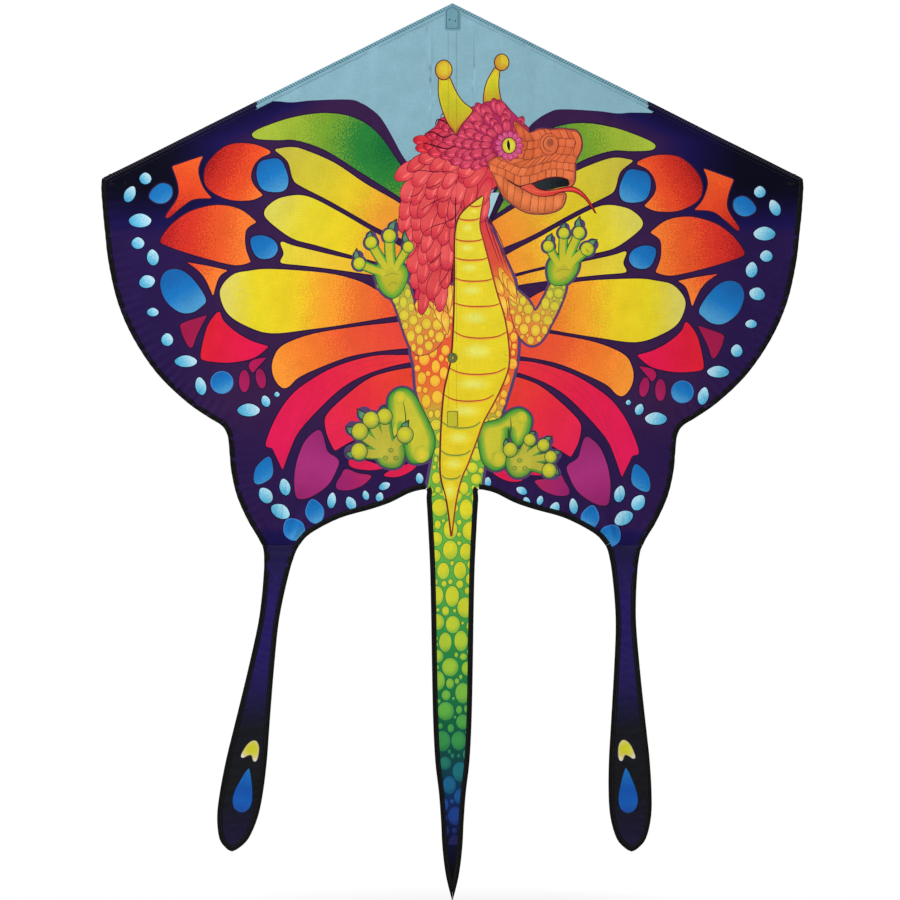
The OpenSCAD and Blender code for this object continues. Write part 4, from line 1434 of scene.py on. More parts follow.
# ---------------------------------------------------------------- mesh helpers
def new_object(name, verts_mm, faces, materials, indices=None):
    """An object from points in mm. Every face gets its material from indices."""
    verts_mm = np.asarray(verts_mm, float)
    mesh = bpy.data.meshes.new(name)
    mesh.from_pydata([tuple(v) for v in verts_mm * MM], [], [tuple(int(i) for i in f) for f in faces])
    for m in materials:
        mesh.materials.append(m)
    mesh.polygons.foreach_set("use_smooth", [True] * len(mesh.polygons))
    if indices is not None:
        mesh.polygons.foreach_set("material_index", np.asarray(indices, np.int32))
    place = mesh.attributes.new("flat_place", "FLOAT_VECTOR", "POINT")
    place.data.foreach_set("vector", (verts_mm * MM).astype(np.float32).ravel())
    mesh.validate()
    mesh.update()
    obj = bpy.data.objects.new(name, mesh)
    bpy.context.scene.collection.objects.link(obj)
    return obj


SHARP_ANGLE = math.radians(52)
CLOTH_THICKNESS = 0.25


def face_out(obj):
    """Turns the faces of closed shells outwards and marks their sharp edges."""
    b = bmesh.new()
    b.from_mesh(obj.data)
    bmesh.ops.recalc_face_normals(b, faces=b.faces)
    for edge in b.edges:
        edge.smooth = edge.calc_face_angle(0) < SHARP_ANGLE
    b.to_mesh(obj.data)
    b.free()
    return obj


def thicken(obj):
    """Gives the cloth its thickness. The back takes the second material."""
    solid = obj.modifiers.new("cloth thickness", "SOLIDIFY")
    solid.thickness = CLOTH_THICKNESS * MM
    solid.offset = 0
    solid.use_rim = True
    solid.material_offset = 1


def top_shapes(points, shapes):
    """Index of the topmost shape at each point, or -1."""
    found = np.full(len(points), -1)
    for i, (outline, _, _, low, high) in enumerate(shapes):
        near = np.where((points[:, 0] >= low[0]) & (points[:, 0] <= high[0])
                        & (points[:, 1] >= low[1]) & (points[:, 1] <= high[1]))[0]
        if len(near):
            found[near[inside(points[near], outline)]] = i
    return found


def write_inks(mesh, a, b, t, grain):
    """Stores the two inks, their share and the grain at every face corner."""
    for name, colour, alpha in (("ink_a", a, t), ("ink_b", b, grain)):
        layer = mesh.color_attributes.new(name, "FLOAT_COLOR", "CORNER")
        values = np.concatenate([colour, np.reshape(alpha, (-1, 1))], 1)
        layer.data.foreach_set("color", values.astype(np.float32).ravel())


def colour_corners(mesh, corners, middles, owner, shapes, ground):
    """Inks each triangle with the shape that owns it, or with the ground."""
    a, b = np.zeros((2, len(corners), 3))
    t, grain = np.zeros((2, len(corners)))
    per_corner = np.repeat(owner, 3)
    centre = np.repeat(middles, 3, axis=0)
    for i in np.unique(owner):
        at = np.where(per_corner == i)[0]
        shade = ground if i < 0 else shapes[i][1]
        a[at], b[at], t[at], grain[at] = shade(corners[at], centre[at])
    write_inks(mesh, a, b, t, grain)


def filler_grid(low, high, pitch):
    """Staggered rows of points over the box."""
    nx, nz = (int((high[k] - low[k]) / pitch) + 2 for k in (0, 1))
    gx, gz = np.meshgrid(np.arange(nx), np.arange(nz))
    rows = np.stack([low[0] + pitch * (gx + 0.5 * (gz % 2)), low[1] + pitch * gz * 0.9], 2)
    return rows.reshape(-1, 2)


def doubled_area(p, faces):
    """Twice each triangle's signed area, seen from the front."""
    a, b, c = (p[faces[:, k]] for k in range(3))
    return (b - a)[:, 0] * (c - a)[:, 1] - (b - a)[:, 1] * (c - a)[:, 0]


def printed_panel(name, outline, grid, lift, materials, ground, fine=None):
    """A sheet of printed cloth: crisp shapes cut into a fine mesh that follows lift. fine is
    (curves, reach, pitch) for a finer mesh near those curves."""
    outline = np.array(outline, float)
    low, high = outline.min(0), outline.max(0)
    shapes = [s for s in PRINT if (s[4] >= low).all() and (s[3] <= high).all()]
    points, edges = [], []

    def add_loop(loop):
        first = len(points)
        points.extend(map(tuple, loop))
        count = len(loop)
        edges.extend((first + i, first + (i + 1) % count) for i in range(count))
    add_loop(outline)
    for shape, _, spots, _, _ in shapes:
        add_loop(shape)
        points.extend(tuple(s) for s in spots)
    rng = np.random.default_rng(len(name))
    loose = filler_grid(low, high, grid)
    filler = [loose + rng.uniform(-0.12, 0.12, loose.shape) * grid]
    if fine is not None:
        curves, reach, pitch = fine
        dense = filler_grid(low, high, pitch)
        dense = dense[inside(dense, outline)]
        close = np.zeros(len(dense), bool)
        for curve in curves:
            close |= nearest(dense, curve)[0] < reach
        filler.append(dense[close])
    filler = np.concatenate(filler)
    filler = filler[inside(filler, grown(outline, -1.5))]
    points.extend(map(tuple, filler))
    made = delaunay_2d_cdt([Vector(p) for p in points], edges, [], 0, 1e-3, False)
    flat = np.array([tuple(v) for v in made[0]], float)
    faces = np.array([f for f in made[2] if len(f) == 3], int)
    middles = flat[faces].mean(axis=1)
    kept = inside(middles, outline) & (np.abs(doubled_area(flat, faces)) > 1e-5)
    faces, middles = faces[kept], middles[kept]
    backwards = doubled_area(flat, faces) < 0
    faces[backwards] = faces[backwards][:, ::-1]
    used, index = np.unique(faces, return_inverse=True)
    faces = index.reshape(-1, 3)
    flat = flat[used]
    verts = np.stack([flat[:, 0], lift(flat), flat[:, 1]], 1)
    obj = new_object(name, verts, faces, materials)
    # flat_place keeps the place in the flat cloth, so that patterns follow the cloth
    place = np.stack([flat[:, 0], np.zeros(len(flat)), flat[:, 1]], 1) * MM
    obj.data.attributes["flat_place"].data.foreach_set("vector", place.astype(np.float32).ravel())
    pairs = np.sort(np.concatenate([faces[:, [0, 1]], faces[:, [1, 2]], faces[:, [2, 0]]]), axis=1)
    pairs, uses = np.unique(pairs, axis=0, return_counts=True)
    rim = {tuple(q) for q in pairs[uses == 1].tolist()}
    for edge in obj.data.edges:
        if tuple(sorted(edge.vertices)) in rim:
            edge.use_edge_sharp = True
    owner = top_shapes(middles, shapes)
    colour_corners(obj.data, flat[faces.ravel()], middles, owner, shapes, ground)
    thicken(obj)
    return obj


def sweep(line, section, lift=None):
    """Verts and faces of a closed section run along a line in the sail's plane.
    Section points are (distance to the right of the line, y)."""
    line = np.array(line, float)
    normal = sides(line)
    section = np.array(section, float)
    count, ring = len(line), len(section)
    flat = line[:, None, :] + section[None, :, 0:1] * normal[:, None, :]
    y = np.broadcast_to(section[None, :, 1], (count, ring)).copy()
    if lift is not None:
        y += lift(flat.reshape(-1, 2)).reshape(count, ring)
    verts = np.stack([flat[..., 0], y, flat[..., 1]], 2).reshape(-1, 3)
    faces = []
    for i in range(count - 1):
        for j in range(ring):
            k = (j + 1) % ring
            faces.append((i * ring + j, i * ring + k, (i + 1) * ring + k, (i + 1) * ring + j))
    faces.append(tuple(range(ring)))
    faces.append(tuple(range((count - 1) * ring, count * ring))[::-1])
    return verts, faces


def joined(parts):
    """Joins (verts, faces, material index) lists into one."""
    verts, faces, indices, base = [], [], [], 0
    for v, f, m in parts:
        verts.append(np.asarray(v, float))
        faces += [tuple(int(i) + base for i in face) for face in f]
        indices += [m] * len(f)
        base += len(v)
    return np.concatenate(verts), faces, indices


STITCH_FACES = [(0, 1, 2), (0, 2, 3), (0, 3, 4), (0, 4, 1)]
STITCH_FACES += [(1, 5, 6, 2), (2, 6, 7, 3), (3, 7, 8, 4), (4, 8, 5, 1)]
STITCH_FACES += [(9, 6, 5), (9, 7, 6), (9, 8, 7), (9, 5, 8)]


def stitch_mesh(middles, headings, length, width, y, lift, height=0.35):
    """Short thread lengths laid on the cloth at y, one for each middle and heading."""
    middles = np.array(middles, float)
    headings = np.array(headings, float)
    u = np.array([-0.5, -0.32, -0.32, -0.32, -0.32, 0.32, 0.32, 0.32, 0.32, 0.5]) * length
    v = np.array([0, 1, 0, -1, 0, 1, 0, -1, 0, 0]) * width / 2
    w = np.array([0, 0, 1, 0, -1, 0, 1, 0, -1, 0]) * height
    side = np.stack([headings[:, 1], -headings[:, 0]], 1)
    flat = (middles[:, None, :] + u[None, :, None] * headings[:, None, :]
            + v[None, :, None] * side[:, None, :])
    up = y + w[None, :] + (lift(flat.reshape(-1, 2)).reshape(len(middles), 10) if lift else 0)
    up = np.broadcast_to(up, (len(middles), 10))
    verts = np.stack([flat[..., 0], up, flat[..., 1]], 2).reshape(-1, 3)
    faces = [tuple(10 * i + k for k in f) for i in range(len(middles)) for f in STITCH_FACES]
    return verts, faces


def stitch_row(line, offset, pitch, length, width, y, lift, slant=0.0, height=0.35):
    """A row of stitches beside the line. slant turns each stitch across the row."""
    row = resampled(inset(resampled(line, 2), offset), pitch)
    middles = (row[:-1] + row[1:]) / 2
    along = row[1:] - row[:-1]
    along /= np.linalg.norm(along, axis=1)[:, None]
    c, s = math.cos(math.radians(slant)), math.sin(math.radians(slant))
    headings = np.stack([along[:, 0] * c - along[:, 1] * s, along[:, 0] * s + along[:, 1] * c], 1)
    return stitch_mesh(middles, headings, length, width, y, lift, height)


def ride_for(obj, body, node):
    """The piece moves with the body and stands for the CAD node."""
    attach(obj, body)
    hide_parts(node)


def flipped(line, side):
    """The right wing's line on the given side."""
    return np.array(line, float) * (side, 1)


def build(name, parts, materials):
    """One object from several meshes, faces outwards."""
    verts, faces, indices = joined(parts)
    obj = new_object(name, verts, faces, materials, indices=indices)
    face_out(obj)
    return obj


# ---------------------------------------------------------------- sheets of cloth
def flat_size(outline):
    """Width and height in metres and area in square metres."""
    size = (outline.max(0) - outline.min(0)) * MM
    return tuple(float(s) for s in size), abs(area_of(outline)) * MM * MM


def bend_wing(obj):
    """Bakes the object's transform into its mesh."""
    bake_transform(obj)


def wing_outline(side):
    """Closed outline of one wing's cloth."""
    lead = inset(resampled([on_lead(HINGE_X), LEAD_END], 6), TUCK)
    lead[0, 0] = HINGE_X
    outer = inset(OUTER, TUCK)[2:-1]
    half = TAIL_FORM[0][1] - TUCK
    root = np.array([(TAIL_X + half, TAIL_TOP_Z), (TAIL_X, TAIL_TOP_Z), (TAIL_X - half, TAIL_TOP_Z)])
    lower = inset(LOWER, TUCK)[1:]
    lower[-1, 0] = HINGE_X
    hinge = resampled([lower[-1], lead[0]], 5)[1:-1]
    outline = np.concatenate([lead[:-2], outer, root, lower, hinge])
    return flipped(outline, side)


def sheet(outline):
    flat, area = flat_size(outline)
    area = min(area, 0.999 * flat[0] * flat[1])


def add_sheets():
    """Belly, wing and tail cloths."""
    right = inset(resampled([on_lead(0), on_lead(HINGE_X)], 5), TUCK)
    right[-1, 0], right[0, 0] = HINGE_X, 0
    low = inset(BELLY, TUCK)
    low[0] = (HINGE_X, inset(LOWER, TUCK)[-1, 1])
    hinge = resampled([right[-1], low[0]], 5)[1:-1]
    half = np.concatenate([right, hinge, low[:-1], [(low[-1, 0], SEAM_Z)]])
    outline = np.concatenate([half, (half * (-1, 1))[::-1][:-1]])
    belly = printed_panel("belly_cloth", outline, 6, sail_lift, [PRINT_FRONT, PRINT_BACK], field)
    ride_for(belly, "frame", "centre_sail")
    sheet(outline)

    for side, word in SIDES.items():
        outline = wing_outline(side)
        curves = [flipped(OUTER, side), flipped(LOWER, side)]
        wing = printed_panel(word + "_wing_cloth", outline, 8, sail_lift,
                             [PRINT_FRONT, PRINT_BACK], field, fine=(curves, 44, 3.6))
        bend_wing(wing)
        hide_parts(word + "_wing_sail")
        sheet(outline)

        outer, inner = inset(tail_edge(side, 1), TUCK), inset(tail_edge(side, -1)[::-1], TUCK)
        outline = flipped(np.concatenate([outer[:-1], inner[1:]]), side)
        ground = ink((20, 12, 60), (30, 16, 92), (26, 14, 84), (5, 8, 20), (3, 6, 11),
                     (20, 11, 52), along=((0, TAIL_TOP_Z), (0, TAIL_TOP_Z - TAIL_LEN)), grain=0.3)
        tail = printed_panel(word + "_tail_cloth", outline, 3.6, lambda p, s=side: tail_lift(p, s),
                             [SATIN_FRONT, SATIN_BACK], ground)
        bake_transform(tail)
        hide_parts(word + "_tail")
        sheet(outline)

    half = inset(CENTRE_TAIL, TUCK)
    half[0] = (half[0, 0], SEAM_Z)
    half = half[:-2]
    outline = np.concatenate([half, (half * (-1, 1))[::-1]])
    tail = printed_panel("centre_tail_cloth", outline, 4.5, centre_lift,
                         [PRINT_FRONT, PRINT_BACK], field)
    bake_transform(tail)
    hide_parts("centre_tail")
    sheet(outline)


add_sheets()

# ---------------------------------------------------------------- edge tape and hems
# Section of the folded tape: distance in from the edge, y
TAPE_SECTION = [
    (BINDING_W, -0.20), (BINDING_W - 0.4, -0.55), (7.9, -0.52), (7.4, -0.42), (6.9, -0.55),
    (4.0, -0.86), (1.4, -0.84), (0.45, -0.6), (0.0, 0.0), (0.45, 0.6), (1.4, 0.84), (4.0, 0.86),
    (6.9, 0.55), (7.4, 0.42), (7.9, 0.52), (BINDING_W - 0.4, 0.55), (BINDING_W, 0.20),
]
STITCH_AT = 7.4


def tape_parts(line, lift, way=1):
    """Folded tape along the line, with a row of stitches on both faces. way is the side of
    the line that the cloth is on: 1 is the right."""
    line = resampled(line, 3.2)
    section = [(way * d, y) for d, y in TAPE_SECTION]
    parts = [(*sweep(line, section, lift), 0)]
    for y in (-0.55, 0.55):
        parts.append((*stitch_row(line, way * STITCH_AT, 3.4, 2.6, 0.75, y, lift), 1))
    return parts


def add_tapes():
    """Black edge tapes."""
    parts = []
    for side in SIDES:
        parts += tape_parts(flipped(BELLY, side), sail_lift, side)
    belly = build("belly_tape", parts, [TAPE, BLACK_THREAD])
    ride_for(belly, "frame", "belly_binding")
    parts = []
    for side in SIDES:
        for verts, faces, index in tape_parts(flipped(CENTRE_TAIL, side), centre_lift, side):
            verts[:, 0] = side * np.maximum(side * verts[:, 0], 0.1)
            parts.append((verts, faces, index))
    tail = build("centre_tail_tape", parts, [TAPE, BLACK_THREAD])
    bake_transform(tail)
    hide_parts("centre_tail_binding")
    for side, word in SIDES.items():
        parts = tape_parts(flipped(OUTER, side), sail_lift, side)
        parts += tape_parts(flipped(LOWER, side), sail_lift, side)
        wing = build(word + "_wing_tape", parts, [TAPE, BLACK_THREAD])
        bend_wing(wing)
        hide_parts(word + "_edge_binding")

        def lift(p, s=side):
            return tail_lift(p, s)
        outer, inner = tail_edge(side, 1), tail_edge(side, -1)[::-1]
        around = np.concatenate([outer[:-1], inner])
        parts = tape_parts(flipped(around, side), lift, side)
        tail = build(word + "_tail_tape", parts, [TAPE, BLACK_THREAD])
        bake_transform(tail)
        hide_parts(word + "_tail_binding")


HEM_SECTION = [
    (HEM_W, -0.2), (HEM_W - 0.5, -0.5), (11.0, -0.45), (7.0, -0.55), (2.5, -0.78), (0.9, -0.72),
    (0.0, 0.0), (0.9, 0.72), (2.5, 0.78), (7.0, 0.55), (11.0, 0.45), (HEM_W - 0.5, 0.5),
    (HEM_W, 0.2),
]
SKY_END_X = 372


def hem_ground(p, middle):
    """The print as it runs over the hem: sky near the nose, dark purple beyond."""
    a, b, t, grain = field(p, middle)
    sky = np.abs(middle[:, 0]) < SKY_END_X
    a[sky], b[sky] = linear(SKY), linear(SKY_DEEP)
    t[sky], grain[sky] = 0.35, 0.25
    return a, b, t, grain


def paint_hem(obj):
    """Gives the hem's faces the inks of the print that it is folded from."""
    mesh = obj.data
    middles, corners = [], []
    for poly in mesh.polygons:
        for i in poly.vertices:
            middles.append((poly.center.x / MM, poly.center.z / MM))
            corners.append((mesh.vertices[i].co.x / MM, mesh.vertices[i].co.z / MM))
    write_inks(mesh, *hem_ground(np.array(corners), np.array(middles)))


def hem_parts(line, way):
    """Folded hem with an overlocked edge: slanted loops and a chain of stitches."""
    line = resampled(line, 4)
    section = [(way * d, y) for d, y in HEM_SECTION]
    parts = [(*sweep(line, section, sail_lift), 0)]
    for y in (-0.8, 0.8):
        sky = line[np.abs(line[:, 0]) < SKY_END_X + 2]
        dark = line[np.abs(line[:, 0]) > SKY_END_X - 2]
        for run, index in ((sky, 1), (dark, 2)):
            if len(run) < 3:
                continue
            # offset from the edge, pitch, length, width, share of y, slant, height
            for row in ((3.8, 5.4, 7.0, 1.7, 1, 62, 0.3), (6.4, 3.3, 2.9, 0.7, 0.8, 0, 0.3),
                        (12.2, 3.3, 2.5, 0.6, 0.6, 0, 0.25)):
                offset, pitch, length, width, share, slant, height = row
                parts.append((*stitch_row(run, way * offset, pitch, length, width, y * share,
                                          sail_lift, way * slant, height), index))
    return parts


def add_hems():
    """Folded hems of the nose and the leading edges."""
    materials = [PRINT_FRONT, TEAL_THREAD, PURPLE_THREAD]
    parts = []
    for side in SIDES:
        line = flipped([on_lead(0), on_lead(HINGE_X)], side)
        parts += hem_parts(line, side)
    nose = build("nose_hem_fold", parts, materials)
    paint_hem(nose)
    ride_for(nose, "frame", "nose_hem")
    for side, word in SIDES.items():
        parts = hem_parts(flipped([on_lead(HINGE_X), on_lead(663)], side), side)
        hem = build(word + "_hem_fold", parts, materials)
        paint_hem(hem)
        bend_wing(hem)
        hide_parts(word + "_leading_edge_hem")


add_tapes()
add_hems()


# ---------------------------------------------------------------- sewn sleeves, pockets, patches
ARC_FLATS = 14
SLACK = 0.4


def over_rod(radius):
    """Half circle of the radius over the rod's centre."""
    turns = [math.pi * i / ARC_FLATS for i in range(ARC_FLATS + 1)]
    return [(-radius * math.cos(t), ROD_Y + radius * math.sin(t)) for t in turns]


def channel_section(radius, flange, wall=0.35, base=0.3):
    """Thin cloth channel over a rod at ROD_Y, sewn down by a flange on each side."""
    inner = radius + SLACK
    outer = inner + wall
    up = [(-flange, base), (-outer - 0.6, base + 0.05), (-outer, base + 1.2)]
    low = [(-flange, base - wall * 0.5), (-inner - 0.8, base - wall * 0.5), (-inner, base + 0.9)]
    outside, within = (run + over_rod(r) + [(-x, y) for x, y in run[::-1]]
                       for run, r in ((up, outer), (low, inner)))
    return outside + within[::-1]


SEW_PITCH, SEW_LENGTH, SEW_WIDTH = 3.4, 2.6, 0.6


def sleeve_parts(line, radius, flange, step):
    """A sleeve with a row of stitches along each flange, back and front."""
    line = resampled(line, step)
    parts = [(*sweep(line, channel_section(radius, flange), sail_lift), 0)]
    for way in (-1, 1):
        at = way * (flange - 2)
        parts.append((*stitch_row(line, at, SEW_PITCH, SEW_LENGTH, SEW_WIDTH, 0.55, sail_lift), 1))
        parts.append((*stitch_row(line, at, SEW_PITCH, SEW_LENGTH, 0.5, -0.18, sail_lift,
                                  height=0.2), 1))
    return parts


def pocket_parts(line, radius, flange, closed=1):
    """A sleeve that is sewn shut at one end, with a row of stitches down each side. closed is
    1 to shut the line's last end, -1 to shut its first."""
    line = resampled(line, 3)
    parts = [(*sweep(line, channel_section(radius, flange, 0.5), sail_lift), 0)]
    heading = line[-1] - line[-2]
    heading /= np.linalg.norm(heading)
    end = line[-1] if closed > 0 else line[0]
    out = heading * closed
    outer = radius + SLACK + 0.5
    plug = [(-outer, 0.5)] + over_rod(outer) + [(outer, 0.5)]
    parts.append((*sweep([end, end + 0.25 * out, end + 0.5 * out], plug), 0))
    for way in (-1, 1):
        parts.append((*stitch_row(line, way * (flange - 1.6), 3.0, 2.3, 0.6, 0.6, sail_lift), 1))
    return parts


def along(p, heading, s0, s1, step=3.0):
    """Points on a straight line from p, from s0 to s1 along the heading."""
    d = np.array([math.cos(math.radians(heading)), math.sin(math.radians(heading))])
    return resampled([np.array(p, float) + s0 * d, np.array(p, float) + s1 * d], step)


def patch_parts(outline, y, thickness, stitch_in):
    """A cloth patch on the front, with a softly rolled rim and stitches inside its edge."""
    outline = np.array(outline, float)
    if area_of(outline) < 0:
        outline = outline[::-1]
    rings = [(0.0, 0.0), (-0.12, 0.45), (-0.4, 0.85), (-1.0, 1.0), (-stitch_in + 0.6, 1.0),
             (-stitch_in, 0.75), (-stitch_in - 0.7, 1.0), (-stitch_in - 2.2, 1.0)]
    verts, faces = [], []
    n = len(outline)
    middle, half = (outline.max(0) + outline.min(0)) / 2, (outline.max(0) - outline.min(0)) / 2
    for by, up in rings:
        loop = middle + (outline - middle) * (half + by) / half
        lifted = y - thickness * up + sail_lift(loop)
        verts.append(np.stack([loop[:, 0], lifted, loop[:, 1]], 1))
    for k in range(len(rings) - 1):
        for i in range(n):
            j = (i + 1) % n
            faces.append((k * n + i, k * n + j, (k + 1) * n + j, (k + 1) * n + i))
    faces.append(tuple(range((len(rings) - 1) * n, len(rings) * n)))
    faces.append(tuple(range(n))[::-1])
    parts = [(np.concatenate(verts), faces, 0)]
    row = middle + (outline - middle) * (half - stitch_in) / half
    row = np.concatenate([row, row[:2]])
    top = y - thickness * 0.85
    parts.append((*stitch_row(row, 0, 2.9, 2.9, 1.3, top, sail_lift, height=0.45), 1))
    return parts


def rounded(points, radius=2.0):
    """Polygon with small rounded corners, points about 2.5 mm apart."""
    p = np.array(points, float)
    out = []
    for i in range(len(p)):
        a, b, c = p[i - 1], p[i], p[(i + 1) % len(p)]
        to_a, to_c = (a - b) / np.linalg.norm(a - b), (c - b) / np.linalg.norm(c - b)
        for t in (0, 0.5, 1):
            q0, q2 = b + to_a * radius, b + to_c * radius
            out.append((1 - t) ** 2 * q0 + 2 * t * (1 - t) * b + t * t * q2)
        length = np.linalg.norm(c - b) - 2 * radius
        count = max(1, int(length / 2.5))
        out += [b + to_c * (radius + length * k / count) for k in range(1, count)]
    return np.array(out)


def add_sewn_parts():
    """Sleeves, pockets and patches."""
    hub_gap, gap = 19, 2
    sleeves = [(UPPER_HUB_Z + hub_gap, 622 - gap), (LOWER_HUB_Z + hub_gap, UPPER_HUB_Z - hub_gap),
               (-98 + gap, -11.5)]
    parts = []
    for low, high in sleeves:
        parts += sleeve_parts([(0, low), (0, high)], ROD_R, 10, 6)
    spine = build("spine_sleeve_cloth", parts, [SLEEVE_CLOTH, PURPLE_THREAD])
    ride_for(spine, "frame", "spine_sleeve")

    cap_r = ROD_R + 1
    nose = build("nose_pocket_cloth", pocket_parts([(0, 622), (0, 652)], cap_r, 11),
                 [TEAL_CLOTH, DARK_TEAL_THREAD])
    ride_for(nose, "frame", "nose_pocket")
    outline = rounded([(-14.5, 622.5), (14.5, 622.5), (14.5, 663), (0, 670), (-14.5, 663)], 3)
    parts = patch_parts(outline, -0.62, 0.6, 3.4)
    dots = [(-5.5, 642), (5.5, 640)]
    parts.append((*stitch_mesh(dots, [(0.2, 1), (-0.2, 1)], 4.2, 2.0, -1.3, sail_lift, 0.5), 1))
    patch = build("nose_patch_cloth", parts, [TEAL_CLOTH, DARK_TEAL_THREAD])
    ride_for(patch, "frame", "nose_patch")

    low = build("bottom_pocket_cloth", pocket_parts([(0, -129), (0, -98)], cap_r, 11, closed=-1),
                [OLIVE_CLOTH, OLIVE_THREAD])
    ride_for(low, "frame", "bottom_pocket")
    outline = rounded([(-11, -132.5), (11, -132.5), (11, -100.5), (-11, -100.5)], 1.2)
    patch = build("bottom_patch_cloth", patch_parts(outline, -0.18, 0.6, 1.5),
                  [OLIVE_CLOTH, OLIVE_THREAD])
    ride_for(patch, "frame", "bottom_patch")

    spar_root = spar_point(HINGE_X)
    spar_len = (650 - HINGE_X) / math.cos(math.radians(SPAR_FALL))
    for side, word in SIDES.items():
        line = along(spar_root, -SPAR_FALL, spar_len + 2 - 34, spar_len + 1.5)
        tip = build(word + "_tip_pocket_cloth", pocket_parts(flipped(line, side), cap_r, 11),
                    [BLACK_CLOTH, BLACK_THREAD])
        ride_for(tip, word + "_wing", word + "_tip_pocket")

        sewn = bow_line(4, 48)
        stop = len(sewn) - 6
        sleeve = build(word + "_bow_sleeve_cloth",
                       sleeve_parts(flipped(sewn[:stop], side), BOW_R, 8, 4),
                       [SLEEVE_CLOTH, PURPLE_THREAD])
        bend_wing(sleeve)
        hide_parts(word + "_bow_sleeve")
        line = resampled([BOW[-6] * 0.9 + BOW[-5] * 0.1, BOW[-1] + (BOW[-1] - BOW[-2]) * 0.4], 3)
        pocket = build(word + "_bow_pocket_cloth", pocket_parts(flipped(line, side), BOW_R + 1, 9),
                       [BLACK_CLOTH, BLACK_THREAD])
        ride_for(pocket, word + "_wing", word + "_bow_pocket")


add_sewn_parts()


# ---------------------------------------------------------------- rods, tubes and fittings
TUBE_SIDES = 20


def tube_section(radius):
    """Round section on the rods' plane."""
    a = [2 * math.pi * i / TUBE_SIDES for i in range(TUBE_SIDES)]
    return [(radius * math.cos(t), ROD_Y + radius * math.sin(t)) for t in a]


def hollow_tube(line, outer, inner):
    """A tube with a lip at both ends, open right through."""
    line = np.array(line, float)
    normal = sides(line)
    heading = np.stack([-normal[:, 1], normal[:, 0]], 1)
    last = len(line) - 1
    places = [(0, inner, 0), (0, outer - 0.3, 0), (0, outer, 0.35)]
    places += [(i, outer, 0) for i in range(1, last)]
    places += [(last, outer, -0.35), (last, outer - 0.3, 0), (last, inner, 0)]
    places += [(i, inner, 0) for i in range(last - 1, 0, -1)]
    a = 2 * math.pi * np.arange(TUBE_SIDES) / TUBE_SIDES
    rings = []
    for i, r, shift in places:
        flat = line[i] + shift * heading[i] + (r * np.cos(a))[:, None] * normal[i]
        rings.append(np.stack([flat[:, 0], ROD_Y + r * np.sin(a), flat[:, 1]], 1))
    return np.concatenate(rings), ring_faces(len(rings), TUBE_SIDES)


def ring_faces(rings, count):
    """Faces between closed rings of count points, the last ring joined to the first."""
    faces = []
    for k in range(rings):
        m = (k + 1) % rings
        for j in range(count):
            q = (j + 1) % count
            faces.append((k * count + j, k * count + q, m * count + q, m * count + j))
    return faces


def add_rods():
    """Bow rods, and the vinyl tubes of the spars and bows."""
    for side, word in SIDES.items():
        line = flipped(bow_line(3, 7), side)
        verts, faces = sweep(line, tube_section(BOW_R))
        rod = build(word + "_bow_rod_smooth", [(verts, faces, 0)], [FIBRE])
        ride_for(rod, word + "_wing", word + "_bow_rod")

        start = spar_point(24)
        line = along(start, -SPAR_FALL, 0, 62, 2.0)
        tube = build(word + "_spar_tube_vinyl",
                     [(*hollow_tube(flipped(line, side), ROD_R + 1.5, ROD_R + 0.05), 0)],
                     [VINYL])
        bend_wing_tube(tube)
        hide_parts(word + "_spar_tube")
        back = 26
        start = (BOW_START[0] - back, BOW_START[1] - back * math.tan(math.radians(BOW_HEADING)))
        line = along(start, BOW_HEADING, 0, 62, 2.0)
        tube = build(word + "_bow_tube_vinyl",
                     [(*hollow_tube(flipped(line, side), BOW_R + 1.5, BOW_R + 0.05), 0)],
                     [VINYL])
        bend_wing_tube(tube)
        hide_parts(word + "_bow_tube")


def bend_wing_tube(obj):
    """Bakes the tube's transform into its mesh."""
    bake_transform(obj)


def lathe(profile, count=64):
    """Verts and faces of a closed profile (radius, y) turned about the y axis."""
    verts = []
    for i in range(count):
        a = 2 * math.pi * i / count
        verts += [(r * math.cos(a), y, r * math.sin(a)) for r, y in profile]
    return np.array(verts), ring_faces(count, len(profile))


def add_eyelet():
    """Two rolled flanges round a bore. The rolled rim on the front is painted shade: it takes a
    darker copy of the eyelet's plastic, which also colours the stitches.
    """
    face = [(2.0, 0.0), (2.0, -0.8), (2.3, -1.25), (3.0, -1.38), (3.7, -1.2), (4.1, -0.85),
            (6.6, -0.8), (7.1, -0.95), (7.6, -0.8), (8.6, -0.75), (9.1, -0.85), (9.5, -0.6),
            (9.5, -0.15)]
    back = [(r, -y) for r, y in face[::-1]]
    parts = [(*lathe(face + back), 0)]
    # The rolled rim takes the darker plastic, painted shade at the eyelet's edge
    rim = [(8.3, -0.72), (8.6, -1.02), (9.0, -1.08), (9.42, -0.9), (9.5, -0.6), (8.9, -0.4)]
    parts.append((*lathe(rim), 1))
    for turn in range(6):
        a = math.radians(60 * turn + 12)
        middle = [(5.4 * math.cos(a), 5.4 * math.sin(a))]
        parts.append((*stitch_mesh(middle, [(-math.sin(a), math.cos(a))], 3.2, 0.8, -0.95, None,
                                   0.3), 1))
    eyelet = build("sail_eyelet", parts, [EYELET, EYELET_SHADED_RIM_AND_STITCH])
    ride_for(eyelet, "frame", "bridle_eyelet")


add_rods()
add_eyelet()

NODE_MATERIALS = {
    "spine_rod": FIBRE, "spine_top_cap": VINYL, "spine_bottom_cap": VINYL, "upper_hub": NYLON,
    "lower_hub": NYLON, "hub_stop_rings": VINYL,
}
for _word in SIDES.values():
    NODE_MATERIALS[_word + "_spar_rod"] = FIBRE
    NODE_MATERIALS[_word + "_spar_tip_cap"] = VINYL
    NODE_MATERIALS[_word + "_bow_end_cap"] = VINYL
for _name, _material in NODE_MATERIALS.items():
    _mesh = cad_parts[_name].data
    _mesh.materials.clear()
    _mesh.materials.append(_material)


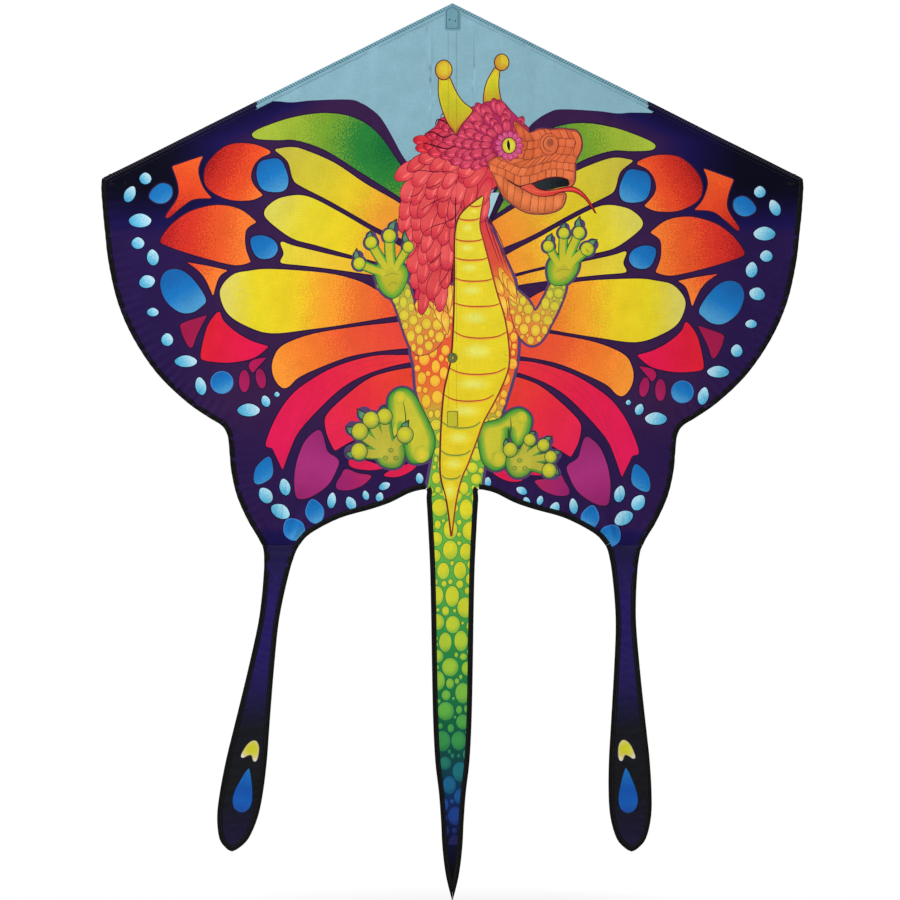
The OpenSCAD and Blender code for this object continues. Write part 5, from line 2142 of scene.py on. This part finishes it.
# ---------------------------------------------------------------- floor and light
WHITE = (1, 1, 1, 1)
AMBIENT = 0.34
FLOOR_Z, FLOOR_HALF = -1.10, 9.0
AIM = (0, 0, -0.1)
# The floor glows white beyond these distances, so that it has no horizon
FLOOR_FADE = (0.3, 0.75)


def add_floor():
    """Pale floor that fades to white."""
    mesh = bpy.data.meshes.new("floor")
    verts = [(x * FLOOR_HALF, y * FLOOR_HALF, 0) for x, y in ((-1, -1), (1, -1), (1, 1), (-1, 1))]
    mesh.from_pydata(verts, [], [(0, 1, 2, 3)])
    floor = bpy.data.objects.new("floor", mesh)
    floor.location.z = FLOOR_Z
    bpy.context.scene.collection.objects.link(floor)
    m = Surface("pale_floor")
    place = m.place()
    m.set("Base Color", m.mix(m.noise(place, 3, 3), rgb((250, 250, 250)), rgb((243, 243, 244))))
    m.set("Roughness", 0.9)
    away = m.add("ShaderNodeVectorMath", operation="LENGTH")
    m.link(place, away.inputs[0])
    glow = m.add("ShaderNodeEmission", {"Color": WHITE, "Strength": 1.0})
    blend = m.add("ShaderNodeMixShader")
    for i, source in enumerate((m.spread(away.outputs["Value"], *FLOOR_FADE), m.bsdf.outputs[0],
                                glow.outputs[0])):
        m.link(source, blend.inputs[i])
    m.link(blend.outputs[0], m.nodes["Material Output"].inputs["Surface"])
    mesh.materials.append(m.material)


def add_world():
    """White to the camera, softer as light."""
    world = bpy.data.worlds.new("studio")
    bpy.context.scene.world = world
    world.use_nodes = True
    w = Nodes(world.node_tree)
    w.nodes.clear()
    output = w.add("ShaderNodeOutputWorld")
    path = w.add("ShaderNodeLightPath")
    seen = w.add("ShaderNodeBackground", {"Color": WHITE, "Strength": 1.0})
    light = w.add("ShaderNodeBackground", {"Color": WHITE, "Strength": AMBIENT})
    mix = w.add("ShaderNodeMixShader")
    for i, source in enumerate((path.outputs["Is Camera Ray"], light.outputs[0], seen.outputs[0])):
        w.link(source, mix.inputs[i])
    w.link(mix.outputs[0], output.inputs["Surface"])


def add_light(name, place, size, power):
    """Round area light aimed at the kite."""
    data = bpy.data.lights.new(name, "AREA")
    data.shape = "DISK"
    data.size = size
    data.energy = power
    light = bpy.data.objects.new(name, data)
    light.location = place
    light.rotation_euler = (Vector(AIM) - Vector(place)).to_track_quat("-Z", "Y").to_euler()
    bpy.context.scene.collection.objects.link(light)


add_floor()
add_world()
add_light("key", (-3.5, -2.8, 3.0), 1.7, 215)
add_light("back_fill", (2.6, 3.6, 2.0), 2.4, 110)
bpy.context.scene.view_settings.view_transform = "Standard"
bpy.context.scene.view_settings.look = "None"
